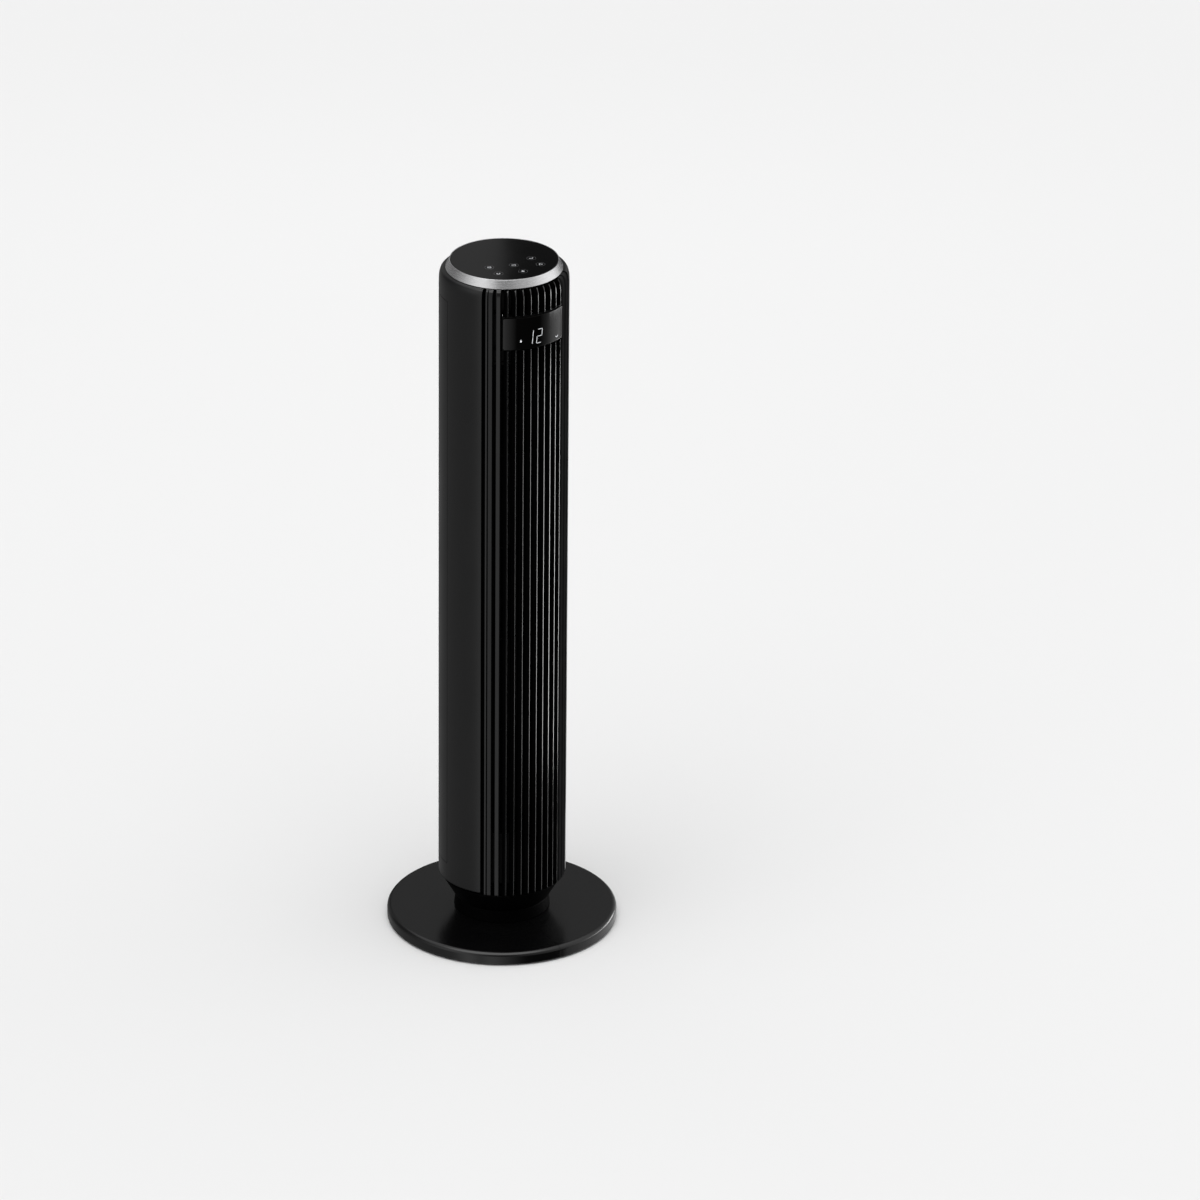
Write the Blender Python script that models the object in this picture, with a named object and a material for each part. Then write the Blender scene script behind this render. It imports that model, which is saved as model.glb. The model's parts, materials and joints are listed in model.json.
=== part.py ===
"""Tower fan, 920 mm tall: a round column that swings on a disc base and blows through a ribbed front grille.

The frame is metres, +Z up, with the origin on the floor under the column's axis. The front faces -Y.
Angles round the column are in degrees from the front, and grow towards +X.
"""

import math

import bmesh
import bpy
from mathutils import Matrix, Vector

# Overall sizes, in metres.
HEIGHT = 0.920
GAP = 0.0003  # between pieces that touch
CLEAR = 0.0004  # round a pin, a boss or a panel in its opening
PAST = 0.001  # how far a cutter runs past the surface that it opens
OUTSIDE_R = 0.095  # where a cutter for the column's wall ends, clear of it
FRONT, REAR = 0.0, 180.0

# Base: two half discs on six pads, with pockets under them.
BASE_R = 0.1485
BASE_BOTTOM, BASE_TOP = 0.002, 0.018
BASE_ROUND = 0.006
BASE_CHAMFER = 0.0015
BASE_HOLE_R = 0.0224
NUT_POCKET_R, NUT_POCKET_TOP = 0.044, 0.013
POCKET_R, POCKET_TOP = (0.050, 0.118), 0.0145
POCKETS_PER_HALF, POCKET_RIB_DEG, POCKET_FACET_DEG = 3, 5.0, 12.0
PAD_R, PAD_CIRCLE_R, PAD_COUNT = 0.009, 0.132, 6

# Neck: the fixed stand that the column turns on, with a hollow post up its middle.
NECK_R_LOW, NECK_R_TOP, NECK_TOP = 0.062, 0.060, 0.0345
NECK_WALL, NECK_PLATE = 0.0026, 0.003
BOSS_R, BOSS_BOTTOM = 0.022, 0.003
NUT_BOTTOM = 0.0035
POST_R, POST_BORE_R, POST_TOP = 0.015, 0.011, 0.064
GLAND_Z, GLAND_BODY_R = 0.0264, 0.0057
LEAD_HALF_HEIGHT, LEAD_HALF_STRAIGHT = 0.0019, 0.0010

# Swing drive: a pinion on the column rolls round a fixed gear on the neck.
GEAR_MODULE = 0.0015
GEAR_TEETH, PINION_TEETH = 44, 14
PRESSURE_DEG = 20.0
ADDENDUM, DEDENDUM = 0.85, 1.15  # in modules
BACKLASH = 0.0003
GEAR_BORE_R = 0.0255
GEAR_Z = (NECK_TOP + GAP, 0.0410)
PINION_Z = (0.0353, 0.0428)
TOOTHED_DEG = 63.0  # to each side of the rear
DRIVE_DISTANCE = GEAR_MODULE * (GEAR_TEETH + PINION_TEETH) / 2
DRIVE_SHAFT_R, DRIVE_SHAFT_TOP = 0.0025, 0.053

# Bottom chassis: the dish under the column, with a hub that turns on the post.
DISH_LOW, DISH_TOP = (0.0615, 0.0355), (0.0783, 0.0643)
DISH_WALL = 0.0035
CHASSIS_FLANGE_R, CHASSIS_FLANGE_TOP = 0.0708, 0.076
CHASSIS_FLOOR = (0.045, 0.049)
HUB_R, HUB_BORE_R, HUB_Z = 0.020, 0.0153, (0.0371, 0.060)

# Column shell.
COLUMN_R, COLUMN_WALL = 0.0822, 0.0028
COLUMN_BOTTOM, SHOULDER_Z, COLUMN_TOP = 0.068, 0.889, 0.909
SHOULDER_R = 0.0749  # where the shoulder meets the trim ring
HOUSING_EDGE_DEG = 50.5  # half the front opening
COVER_EDGE_DEG = 90.0
COVER_Z = (0.0944, 0.8786)

# Front grille.
RIB_PITCH_DEG = 7.1
RIBS_EACH_SIDE = 6
RIB_WIDTH, EDGE_RIB_WIDTH = 0.0058, 0.0028
RIB_OUT_R, RIB_IN_R = 0.0820, 0.0730
RIB_BOTTOM = 0.065
RIB_NOSE_ROUND = 0.0030
EDGE_RIB_DEG = 46.2
RIB_TIP_DEPTH = 0.0045  # at the top, where the shoulder has thinned the rib
BAR_R, BAR_HEIGHT = (0.0715, 0.0745), 0.0024
BAR_DEG = 47.0
BAR_Z = (0.0670, 0.4470, 0.8262, 0.9065)
RAIL_R, RAIL_DEG, RAIL_Z = (0.0722, 0.0752), (44.6, 54.5), (0.0745, 0.900)
CLIP_R, CLIP_DEG, CLIP_Z = (0.0745, 0.0790), (52.0, 54.5), (0.080, 0.880)

# Display window in the grille.
LENS_R, LENS_DEG, LENS_Z = (0.0808, 0.0828), 31.4, (0.8308, 0.8732)
TRAY_R, TRAY_DEG, TRAY_Z = (0.0655, 0.0805), 31.8, (0.8292, 0.8748)
WINDOW_DEG, WINDOW_Z = 32.5, (0.8286, 0.8754)

# Rear cover: intake slots in rows, a hand hold and two screws.
SLOT_COLUMNS, SLOT_ROWS = 13, 3
SLOT_PITCH_DEG, SLOT_WIDTH_DEG = 6.0, 2.7
SLOT_Z, SLOT_ROW_GAP = (0.112, 0.812), 0.009
COVER_WALL = 0.0026
COVER_CUT_R, CUP_CUT_Y, HEAD_CUT_R = (0.076, 0.086), (0.060, 0.095), (0.075, 0.090)
CUP_HALF_WIDTH, CUP_Z, CUP_FLOOR_Y, CUP_WALL = 0.042, (0.830, 0.862), 0.052, 0.0022
COVER_SCREW_Z, SCREW_SHANK_R, SCREW_TIP_R = (0.1030, 0.8705), 0.0016, 0.070

# Head: trim ring, touch panel and the deck under them.
RING_LOW_R, RING_TOP_R, RING_WALL = 0.0744, 0.0688, 0.0028
SEAT_R, SEAT_THICK = 0.0655, 0.002  # the step in the ring that the panel lies on
PANEL_R, PANEL_THICK = 0.0679, 0.0027
DECK_R, DECK_Z, DECK_RIM_R = 0.0690, (0.903, 0.906), (0.0640, 0.0683)
BOARD_HALF, BOARD_Z = (0.046, 0.036), (0.880, 0.8816)
BOARD_POST_R = 0.003
BOARD_POSTS = ((-0.041, -0.031), (0.041, -0.031), (-0.041, 0.031), (0.041, 0.031))

# Air duct and crossflow impeller.
DUCT_R, DUCT_FRONT_R, DUCT_FRONT_DEG = 0.0790, 0.0710, 56.0
DUCT_FLOOR, DUCT_CEILING = (0.148, 0.151), (0.806, 0.809)
SCREEN_R, SCREEN_DEG, SCREEN_FACET_DEG = (0.0672, 0.0692), 54.0, 9.0
MOTOR_SCREEN_Z, HEAD_SCREEN_Z = (0.0790, 0.1490), (0.8100, 0.9035)
SCROLL_R, SCROLL_DEG, SCROLL_WALL = (0.0690, 0.0475), (50.0, 150.0), 0.002
IMPELLER_R, IMPELLER_Z = 0.044, (0.158, 0.798)
IMPELLER_DISC, IMPELLER_RINGS, IMPELLER_BLADES = 0.0025, 1, 14
IMPELLER_RING_R, IMPELLER_RING_THICK = 0.033, 0.002
BLADE_R, BLADE_SLANT_DEG, BLADE_THICK = (0.0345, 0.0432), 9.0, 0.0014

# Motor, below the duct floor.
MOTOR_R, MOTOR_Z, MOTOR_WALL = 0.040, (0.101, 0.144), 0.0015
SHAFT_R, SHAFT_Z = 0.004, (0.0975, 0.172)
BUSH_SEAT_R, BUSH_SEAT_DEPTH, BUSH_PLAY = 0.0072, 0.0065, 0.0006
ROTOR_R, ROTOR_Z = 0.0235, (0.112, 0.133)
STATOR_R, STATOR_Z = 0.0245, (0.110, 0.135)
WINDING_R, WINDING_HEIGHT = (0.0265, 0.0365), 0.006
MOUNT_R, MOUNT_CIRCLE_R, MOUNT_COUNT = 0.005, 0.030, 3

# Top bearing, in a rubber cushion in the duct's ceiling.
STUB_R, TOP_BUSH_R = 0.003, 0.005
BEARING_Z = (0.804, 0.8115)
CUSHION_R, CUSHION_FLANGE_R = 0.010, 0.014

# Facets round a full turn, by size.
COARSE, MEDIUM, FINE = 12, 20, 48
HEAD_FACETS = 32

COLOURS = {
    "satin_black": ((0.018, 0.018, 0.019), 0.38, 0.0),
    "grille_black": ((0.014, 0.014, 0.015), 0.30, 0.0),
    "gloss_black": ((0.006, 0.006, 0.007), 0.08, 0.0),
    "brushed_metal": ((0.62, 0.62, 0.63), 0.28, 1.0),
    "inner_plastic": ((0.030, 0.030, 0.032), 0.55, 0.0),
    "impeller_plastic": ((0.045, 0.046, 0.050), 0.45, 0.0),
    "rubber": ((0.022, 0.022, 0.022), 0.85, 0.0),
    "nylon": ((0.78, 0.77, 0.72), 0.50, 0.0),
    "steel": ((0.55, 0.55, 0.56), 0.35, 1.0),
    "lamination": ((0.30, 0.30, 0.31), 0.45, 1.0),
    "copper": ((0.72, 0.36, 0.16), 0.35, 1.0),
    "bronze": ((0.52, 0.36, 0.18), 0.45, 1.0),
    "circuit_board": ((0.02, 0.17, 0.07), 0.45, 0.0),
    "led_face": ((0.85, 0.86, 0.88), 0.40, 0.0),
    "component_grey": ((0.18, 0.19, 0.21), 0.50, 0.0),
}


def clear_scene():
    for obj in list(bpy.data.objects):
        bpy.data.objects.remove(obj, do_unlink=True)


def make_materials():
    made = {}
    for name, (colour, roughness, metallic) in COLOURS.items():
        material = bpy.data.materials.new(name)
        material.use_nodes = True
        shader = material.node_tree.nodes["Principled BSDF"]
        shader.inputs["Base Color"].default_value = (*colour, 1.0)
        shader.inputs["Roughness"].default_value = roughness
        shader.inputs["Metallic"].default_value = metallic
        made[name] = material
    return made


def make_body(name, location=(0, 0, 0)):
    """An empty on a joint's axis, which the pieces of one rigid body are parented to."""
    empty = bpy.data.objects.new(name, None)
    empty.location = location
    bpy.context.scene.collection.objects.link(empty)
    return empty


def at(radius, degrees, z=0.0):
    """A point on a circle round the column's axis."""
    angle = math.radians(degrees)
    return Vector((radius * math.sin(angle), -radius * math.cos(angle), z))


def add(name, bm, material, body, place=None):
    """Makes an object of a closed bmesh, at its place in the world, and parents it to its body's empty."""
    bmesh.ops.recalc_face_normals(bm, faces=bm.faces)
    mesh = bpy.data.meshes.new(name)
    bm.to_mesh(mesh)
    bm.free()
    mesh.shade_smooth()
    mesh.set_sharp_from_angle(angle=math.radians(30))
    obj = bpy.data.objects.new(name, mesh)
    bpy.context.scene.collection.objects.link(obj)
    if material:
        mesh.materials.append(MATERIALS[material])
    if place is not None:
        obj.matrix_basis = place
    if body:
        obj.parent = body
        obj.matrix_parent_inverse = Matrix.Translation(-body.location)
    return obj


def spun(profile, segments, start=0.0, sweep=360.0):
    """A closed outline of (radius, z) points spun round Z. It is left open along the axis."""
    bm = bmesh.new()
    points = [bm.verts.new(at(r, start, z)) for r, z in profile]
    on_axis = profile[0][0] == 0 and profile[-1][0] == 0
    pairs = list(zip(points, points[1:])) + ([] if on_axis else [(points[-1], points[0])])
    edges = [bm.edges.new(pair) for pair in pairs]
    bmesh.ops.spin(
        bm,
        geom=points + edges,
        cent=(0, 0, 0),
        axis=(0, 0, 1),
        angle=math.radians(sweep),
        steps=segments,
        use_merge=sweep == 360.0,
    )
    bmesh.ops.remove_doubles(bm, verts=bm.verts, dist=1e-6)
    bmesh.ops.holes_fill(bm, edges=[e for e in bm.edges if e.is_boundary], sides=0)
    return bm


def extruded(outline, low, high):
    """A closed outline of (x, y) points, extruded from z = low to z = high."""
    bm = bmesh.new()
    face = bm.faces.new([bm.verts.new((x, y, low)) for x, y in outline])
    up = bmesh.ops.extrude_face_region(bm, geom=[face])["geom"]
    moved = [v for v in up if isinstance(v, bmesh.types.BMVert)]
    bmesh.ops.translate(bm, verts=moved, vec=(0, 0, high - low))
    return bm


def boxed(low, high):
    (x0, y0, z0), (x1, y1, z1) = low, high
    return extruded([(x0, y0), (x1, y0), (x1, y1), (x0, y1)], z0, z1)


def together(parts):
    """Several bmeshes in one, still as separate bodies."""
    whole = bmesh.new()
    for part in parts:
        mesh = bpy.data.meshes.new("part")
        part.to_mesh(mesh)
        part.free()
        whole.from_mesh(mesh)
        bpy.data.meshes.remove(mesh)
    return whole


def ring(inner, outer, low, high):
    return [(inner, low), (outer, low), (outer, high), (inner, high)]


def sector(radii, degrees, heights, step=6.0):
    """A slice of a ring between two radii, two angles and two heights."""
    sweep = degrees[1] - degrees[0]
    return spun(ring(*radii, *heights), max(1, round(sweep / step)), degrees[0], sweep)


def boolean(target, operation, bm, place=None):
    """Joins a shape to the target or cuts it out, with a Boolean modifier on a hidden helper."""
    helper = add(f"{target.name}_{operation.lower()}_{len(target.modifiers)}", bm, None, None, place)
    helper.parent = target.parent
    helper.matrix_parent_inverse = target.matrix_parent_inverse
    helper.hide_render = True
    helper.display_type = "WIRE"
    modifier = target.modifiers.new(operation.title(), "BOOLEAN")
    modifier.operation = operation
    modifier.solver = "EXACT"
    modifier.object = helper


def cut(target, bm, place=None):
    boolean(target, "DIFFERENCE", bm, place)


def join(target, bm, place=None):
    boolean(target, "UNION", bm, place)


def rod(radius, low, high, segments=COARSE):
    return spun([(0, low), (radius, low), (radius, high), (0, high)], segments)


def tube(inner, outer, low, high, segments=MEDIUM):
    return spun(ring(inner, outer, low, high), segments)


def arc(centre, radii, degrees, steps):
    """(radius, z) points along an elliptical arc, with both ends. 0 degrees points outwards and 90 up."""
    turn = [math.radians(degrees[0] + (degrees[1] - degrees[0]) * i / steps) for i in range(steps + 1)]
    return [(centre[0] + radii[0] * math.cos(t), centre[1] + radii[1] * math.sin(t)) for t in turn]


def along_y(point):
    """Places a shape modelled along Z so that its axis points to the rear (+Y) from a point."""
    return Matrix.Translation(point) @ Matrix.Rotation(math.radians(-90), 4, "X")


# ---- Base and neck ----


def base_outline():
    rim = arc((BASE_R - BASE_ROUND, BASE_TOP - BASE_ROUND), (BASE_ROUND, BASE_ROUND), (0, 90), 3)
    return [
        (BASE_HOLE_R, BASE_TOP),
        (BASE_HOLE_R, NUT_POCKET_TOP),
        (NUT_POCKET_R, NUT_POCKET_TOP),
        (NUT_POCKET_R, BASE_BOTTOM),
        (BASE_R - BASE_CHAMFER, BASE_BOTTOM),
        (BASE_R, BASE_BOTTOM + BASE_CHAMFER),
        *rim,
    ]


def base_half(name, side):
    """One half of the base disc, on the side of X that side (1 or -1) names."""
    start = 0.0 if side > 0 else 180.0
    place = Matrix.Translation((side * GAP / 2, 0, 0))
    half = add(name, spun(base_outline(), FINE // 2, start, 180.0), "satin_black", STAND, place)
    share = 180.0 / POCKETS_PER_HALF
    pockets = []
    for i in range(POCKETS_PER_HALF):
        degrees = (start + i * share + POCKET_RIB_DEG, start + (i + 1) * share - POCKET_RIB_DEG)
        pockets.append(sector(POCKET_R, degrees, (BASE_BOTTOM - PAST, POCKET_TOP), POCKET_FACET_DEG))
    cut(half, together(pockets), place)


def foot_pads():
    for i in range(PAD_COUNT):
        angle = (i + 0.5) * 360 / PAD_COUNT
        place = Matrix.Translation(at(PAD_CIRCLE_R, angle))
        add(f"foot_pad_{i + 1}", rod(PAD_R, 0, BASE_BOTTOM - GAP), "rubber", STAND, place)


def lock_nut():
    """The wide hand nut under the base that clamps the base halves to the neck."""
    points = 36
    lobes, mean_r, lobe_depth = 6, 0.0365, 0.0035
    outline = []
    for i in range(points):
        turn = 360 * i / points
        p = at(mean_r + lobe_depth * math.cos(math.radians(lobes * turn)), turn)
        outline.append((p.x, p.y))
    nut = add("lock_nut", extruded(outline, NUT_BOTTOM, NUT_POCKET_TOP - GAP), "inner_plastic", STAND)
    cut(nut, rod(BOSS_R + CLEAR, NUT_BOTTOM - PAST, NUT_POCKET_TOP + PAST, MEDIUM))


def neck():
    low = BASE_TOP + GAP
    under_plate = NECK_TOP - NECK_PLATE
    seat_r, wall_r = 0.030, 0.026
    outline = [
        (NECK_R_LOW, low),
        (NECK_R_TOP, NECK_TOP),
        (POST_R, NECK_TOP),
        (POST_R, POST_TOP),
        (POST_BORE_R, POST_TOP),
        (POST_BORE_R, BOSS_BOTTOM),
        (BOSS_R, BOSS_BOTTOM),
        (BOSS_R, low),
        (seat_r, low),
        (seat_r, low + NECK_PLATE),
        (wall_r, low + NECK_PLATE),
        (wall_r, under_plate),
        (NECK_R_TOP - NECK_WALL, under_plate),
        (NECK_R_LOW - NECK_WALL, low),
    ]
    made = add("neck", spun(outline, MEDIUM), "satin_black", STAND)
    cable_way = rod(GLAND_BODY_R + CLEAR, POST_BORE_R / 2, NECK_R_LOW + PAST)
    cut(made, cable_way, along_y((0, 0, GLAND_Z)))


def cord_gland():
    """The rubber bush in the back of the neck, with an oval hole for a flat mains lead."""
    depth, flange_r, flange_thick, flange_chamfer = 0.0060, 0.0076, 0.0030, 0.0012
    outline = [
        (0, -depth),
        (GLAND_BODY_R, -depth),
        (GLAND_BODY_R, 0.0),
        (flange_r, 0.0),
        (flange_r, flange_thick - flange_chamfer),
        (flange_r - flange_chamfer, flange_thick),
        (0, flange_thick),
    ]
    place = along_y((0, NECK_R_LOW + GAP, GLAND_Z))
    gland = add("cord_gland", spun(outline, COARSE), "rubber", STAND, place)
    oval = []
    steps = 6
    for side in (-1, 1):
        for i in range(steps + 1):
            turn = math.radians(-90 * side + 180 * i / steps)
            x = side * LEAD_HALF_STRAIGHT + LEAD_HALF_HEIGHT * math.cos(turn)
            oval.append((x, LEAD_HALF_HEIGHT * math.sin(turn)))
    cut(gland, extruded(oval, -depth - PAST, flange_thick + PAST), place)


def swivel_rings():
    """The washer that the column's hub stands on, and the ring on the post that keeps the hub down."""
    washer_r, retainer_r, play = 0.022, 0.0205, 0.0006
    washer = tube(POST_R + CLEAR, washer_r, NECK_TOP + GAP, HUB_Z[0] - GAP)
    add("thrust_washer", washer, "nylon", STAND)
    retainer = tube(POST_R + GAP, retainer_r, HUB_Z[1] + play, POST_TOP - play)
    add("post_retainer", retainer, "steel", STAND)


# ---- Swing drive ----


def tooth(teeth, centre_deg):
    """The (x, y) outline of one involute tooth, flank, tip and flank, in the order of growing angle."""
    pitch_r = GEAR_MODULE * teeth / 2
    base_r = pitch_r * math.cos(math.radians(PRESSURE_DEG))
    root_r, tip_r = pitch_r - DEDENDUM * GEAR_MODULE, pitch_r + ADDENDUM * GEAR_MODULE

    def involute(radius):
        angle = math.acos(min(1.0, base_r / radius))
        return math.tan(angle) - angle

    half_pitch = math.pi / 2 / teeth - BACKLASH / 2 / pitch_r
    lowest = max(base_r, root_r)
    radii = [lowest, pitch_r, tip_r]
    flank = [(r, half_pitch + involute(pitch_r) - involute(r)) for r in radii]
    if root_r < lowest - 1e-6:
        flank.insert(0, (root_r, flank[0][1]))
    rising = [at(r, centre_deg - math.degrees(half)) for r, half in flank]
    falling = [at(r, centre_deg + math.degrees(half)) for r, half in reversed(flank)]
    return [(p.x, p.y) for p in rising + falling]


def swing_gear():
    """The fixed gear on the neck. Only the stretch that the pinion reaches has teeth."""
    root_r = GEAR_MODULE * (GEAR_TEETH / 2 - DEDENDUM)
    outline = []
    for i in range(GEAR_TEETH):
        angle = REAR + i * 360 / GEAR_TEETH
        away = abs((angle - REAR + 180) % 360 - 180)
        if away <= TOOTHED_DEG:
            outline += tooth(GEAR_TEETH, angle)
        elif i % 2:
            outline.append(tuple(at(root_r, angle).xy))
    gear = add("swing_gear", extruded(outline, *GEAR_Z), "nylon", STAND)
    cut(gear, rod(GEAR_BORE_R, GEAR_Z[0] - PAST, GEAR_Z[1] + PAST, MEDIUM))


def pinion_and_shaft():
    outline = []
    for i in range(PINION_TEETH):
        outline += tooth(PINION_TEETH, FRONT + (i + 0.5) * 360 / PINION_TEETH)
    place = Matrix.Translation((0, DRIVE_DISTANCE, 0))
    pinion = add("swing_pinion", extruded(outline, *PINION_Z), "nylon", PINION, place)
    cut(pinion, rod(DRIVE_SHAFT_R + GAP, PINION_Z[0] - PAST, PINION_Z[1] + PAST), place)
    add("swing_shaft", rod(DRIVE_SHAFT_R, PINION_Z[0], DRIVE_SHAFT_TOP), "steel", PINION, place)


def swing_motor():
    """The flat geared motor on the chassis floor, with an ear and a screw on each side."""
    radius, low, high = 0.021, CHASSIS_FLOOR[1] + GAP, 0.0663
    bore_r, bore_top = DRIVE_SHAFT_R + CLEAR, DRIVE_SHAFT_TOP + PAST
    outline = [(0, bore_top), (bore_r, bore_top), (bore_r, low), (radius, low), (radius, high), (0, high)]
    place = Matrix.Translation((0, DRIVE_DISTANCE, 0))
    motor = add("swing_motor", spun(outline, MEDIUM), "steel", COLUMN, place)
    ear_x, ear_half, ear_thick, ear_root, hole_r = 0.0255, 0.0042, 0.0015, 0.015, 0.0018
    for side in (-1, 1):
        near, far = sorted((side * ear_root, side * (ear_x + ear_half)))
        join(motor, boxed((near, -ear_half, low), (far, ear_half, low + ear_thick)), place)
    screw_head_r, screw_head_thick, screw_r = 0.003, 0.002, 0.0014
    screw_low = CHASSIS_FLOOR[0] + 0.0005
    head_low = low + ear_thick + GAP
    head_high = head_low + screw_head_thick
    for side, name in ((-1, "left"), (1, "right")):
        here = place @ Matrix.Translation((side * ear_x, 0, 0))
        cut(motor, rod(hole_r, low - PAST, head_low), here)
        cut(CHASSIS, rod(hole_r, CHASSIS_FLOOR[0] - PAST, low), here)
        screw = [(0, screw_low), (screw_r, screw_low), (screw_r, head_low), (screw_head_r, head_low)]
        screw += [(screw_head_r, head_high), (0, head_high)]
        add(f"swing_motor_screw_{name}", spun(screw, COARSE), "steel", COLUMN, here)


# ---- Column shell ----


def bottom_chassis():
    """The dish, its floor and hub, and the flange that the housing's lip grips."""
    slope = (DISH_TOP[0] - DISH_LOW[0]) / (DISH_TOP[1] - DISH_LOW[1])

    def inside(z):
        return DISH_LOW[0] + slope * (z - DISH_LOW[1]) - DISH_WALL

    flange_wall, rim_thick, shaft_hole_r = 0.0025, 0.003, 0.006
    flange_inner = CHASSIS_FLANGE_R - flange_wall
    under_rim = DISH_TOP[1] - rim_thick
    outline = [
        DISH_LOW,
        DISH_TOP,
        (CHASSIS_FLANGE_R, DISH_TOP[1]),
        (CHASSIS_FLANGE_R, CHASSIS_FLANGE_TOP),
        (flange_inner, CHASSIS_FLANGE_TOP),
        (flange_inner, under_rim),
        (inside(under_rim), under_rim),
        (inside(CHASSIS_FLOOR[1]), CHASSIS_FLOOR[1]),
        (HUB_R, CHASSIS_FLOOR[1]),
        (HUB_R, HUB_Z[1]),
        (HUB_BORE_R, HUB_Z[1]),
        (HUB_BORE_R, HUB_Z[0]),
        (HUB_R, HUB_Z[0]),
        (HUB_R, CHASSIS_FLOOR[0]),
        (inside(CHASSIS_FLOOR[0]), CHASSIS_FLOOR[0]),
        (inside(DISH_LOW[1]), DISH_LOW[1]),
    ]
    made = add("bottom_chassis", spun(outline, MEDIUM), "satin_black", COLUMN)
    shaft_hole = rod(shaft_hole_r, CHASSIS_FLOOR[0] - PAST, CHASSIS_FLOOR[1] + PAST)
    cut(made, shaft_hole, Matrix.Translation((0, DRIVE_DISTANCE, 0)))
    return made


def shoulder(offset, steps):
    """(radius, z) points up the shoulder, from the straight wall to the trim ring, moved in by offset."""
    radii = (COLUMN_R - SHOULDER_R, COLUMN_TOP - SHOULDER_Z)
    return arc((SHOULDER_R - offset, SHOULDER_Z - offset), radii, (0, 90), steps)


def housing():
    """Both side panels, the bottom collar and the shoulder: one moulding, open at the front and the rear."""
    inner_r = COLUMN_R - COLUMN_WALL
    lip_r, lip_z = CHASSIS_FLANGE_R + CLEAR, (0.070, 0.073)
    chamfer, chamfer_rise = 0.0014, 0.0025
    outline = [
        (COLUMN_R - chamfer, COLUMN_BOTTOM),
        (COLUMN_R, COLUMN_BOTTOM + chamfer_rise),
        *shoulder(0, 5),
        (SHOULDER_R - COLUMN_WALL, COLUMN_TOP),
        *reversed(shoulder(COLUMN_WALL, 4)),
        (inner_r, lip_z[1]),
        (lip_r, lip_z[1]),
        (lip_r, lip_z[0]),
        (inner_r, lip_z[0]),
        (inner_r, COLUMN_BOTTOM),
    ]
    facets, facet_deg = 26, 15.0
    sweep = 360.0 - 2 * HOUSING_EDGE_DEG
    made = add("housing", spun(outline, facets, HOUSING_EDGE_DEG, sweep), "satin_black", COLUMN)
    opening = (COVER_EDGE_DEG, 360.0 - COVER_EDGE_DEG)
    heights = (COVER_Z[0] - CLEAR, COVER_Z[1] + CLEAR)
    cut(made, sector((SCREW_TIP_R, OUTSIDE_R), opening, heights, facet_deg))
    tab_r, half_tab_deg = 0.0752, 7.0
    past_screw, past_edge = 0.0055, 0.0080
    behind, under = inner_r - 0.0002, inner_r + 0.0010
    for screw_z, edge_z, away in zip(COVER_SCREW_Z, heights, (-1, 1)):
        near, far, root = screw_z - away * past_screw, edge_z + away * past_edge, edge_z + away * PAST
        tab = [(tab_r, near), (tab_r, far), (under, far), (under, root), (behind, root), (behind, near)]
        join(made, spun(tab, 2, REAR - half_tab_deg, 2 * half_tab_deg))
        cut(made, rod(SCREW_SHANK_R + GAP, SCREW_TIP_R, COLUMN_R), along_y((0, 0, screw_z)))


def rib(degrees, width):
    """One upright rib, which follows the column's wall and bends in over the shoulder."""
    outer = [(RIB_OUT_R - RIB_NOSE_ROUND, RIB_BOTTOM), (RIB_OUT_R, RIB_BOTTOM + 2 * RIB_NOSE_ROUND)]
    outer += shoulder(COLUMN_R - RIB_OUT_R, 4)
    top_r, top_z = outer[-1]
    inner = [(RIB_IN_R, RIB_BOTTOM), (RIB_IN_R, SHOULDER_Z), (top_r - RIB_TIP_DEPTH, top_z)]
    across = at(width / 2, degrees + 90.0)
    sides = []
    bm = bmesh.new()
    for sign in (-1, 1):
        side = [bm.verts.new(at(r, degrees, z) + across * sign) for r, z in outer + inner[::-1]]
        bm.faces.new(side)
        sides.append(side)
    left, right = sides
    for i in range(len(left)):
        j = (i + 1) % len(left)
        bm.faces.new((left[i], left[j], right[j], right[i]))
    return bm


def front_grille():
    """Ribs, the cross bars behind them, and a rail up each edge that clips in behind the housing."""
    count = RIBS_EACH_SIDE
    bar_facet_deg, rail_facet_deg, window_facet_deg, behind_bars_r = 8.0, 5.0, 6.5, 0.0705
    ribs = [rib(i * RIB_PITCH_DEG, RIB_WIDTH) for i in range(-count, count + 1)]
    ribs += [rib(side * EDGE_RIB_DEG, EDGE_RIB_WIDTH) for side in (-1, 1)]
    bars = []
    for z in BAR_Z:
        heights = (z - BAR_HEIGHT / 2, z + BAR_HEIGHT / 2)
        bars.append(sector(BAR_R, (-BAR_DEG, BAR_DEG), heights, bar_facet_deg))
    made = add("front_grille", together(ribs), "grille_black", COLUMN)
    join(made, together(bars))
    for low, high in (RAIL_DEG, (-RAIL_DEG[1], -RAIL_DEG[0])):
        join(made, sector(RAIL_R, (low, high), RAIL_Z, rail_facet_deg))
    for low, high in (CLIP_DEG, (-CLIP_DEG[1], -CLIP_DEG[0])):
        join(made, sector(CLIP_R, (low, high), CLIP_Z, rail_facet_deg))
    cut(made, sector((behind_bars_r, OUTSIDE_R), (-WINDOW_DEG, WINDOW_DEG), WINDOW_Z, window_facet_deg))


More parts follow.
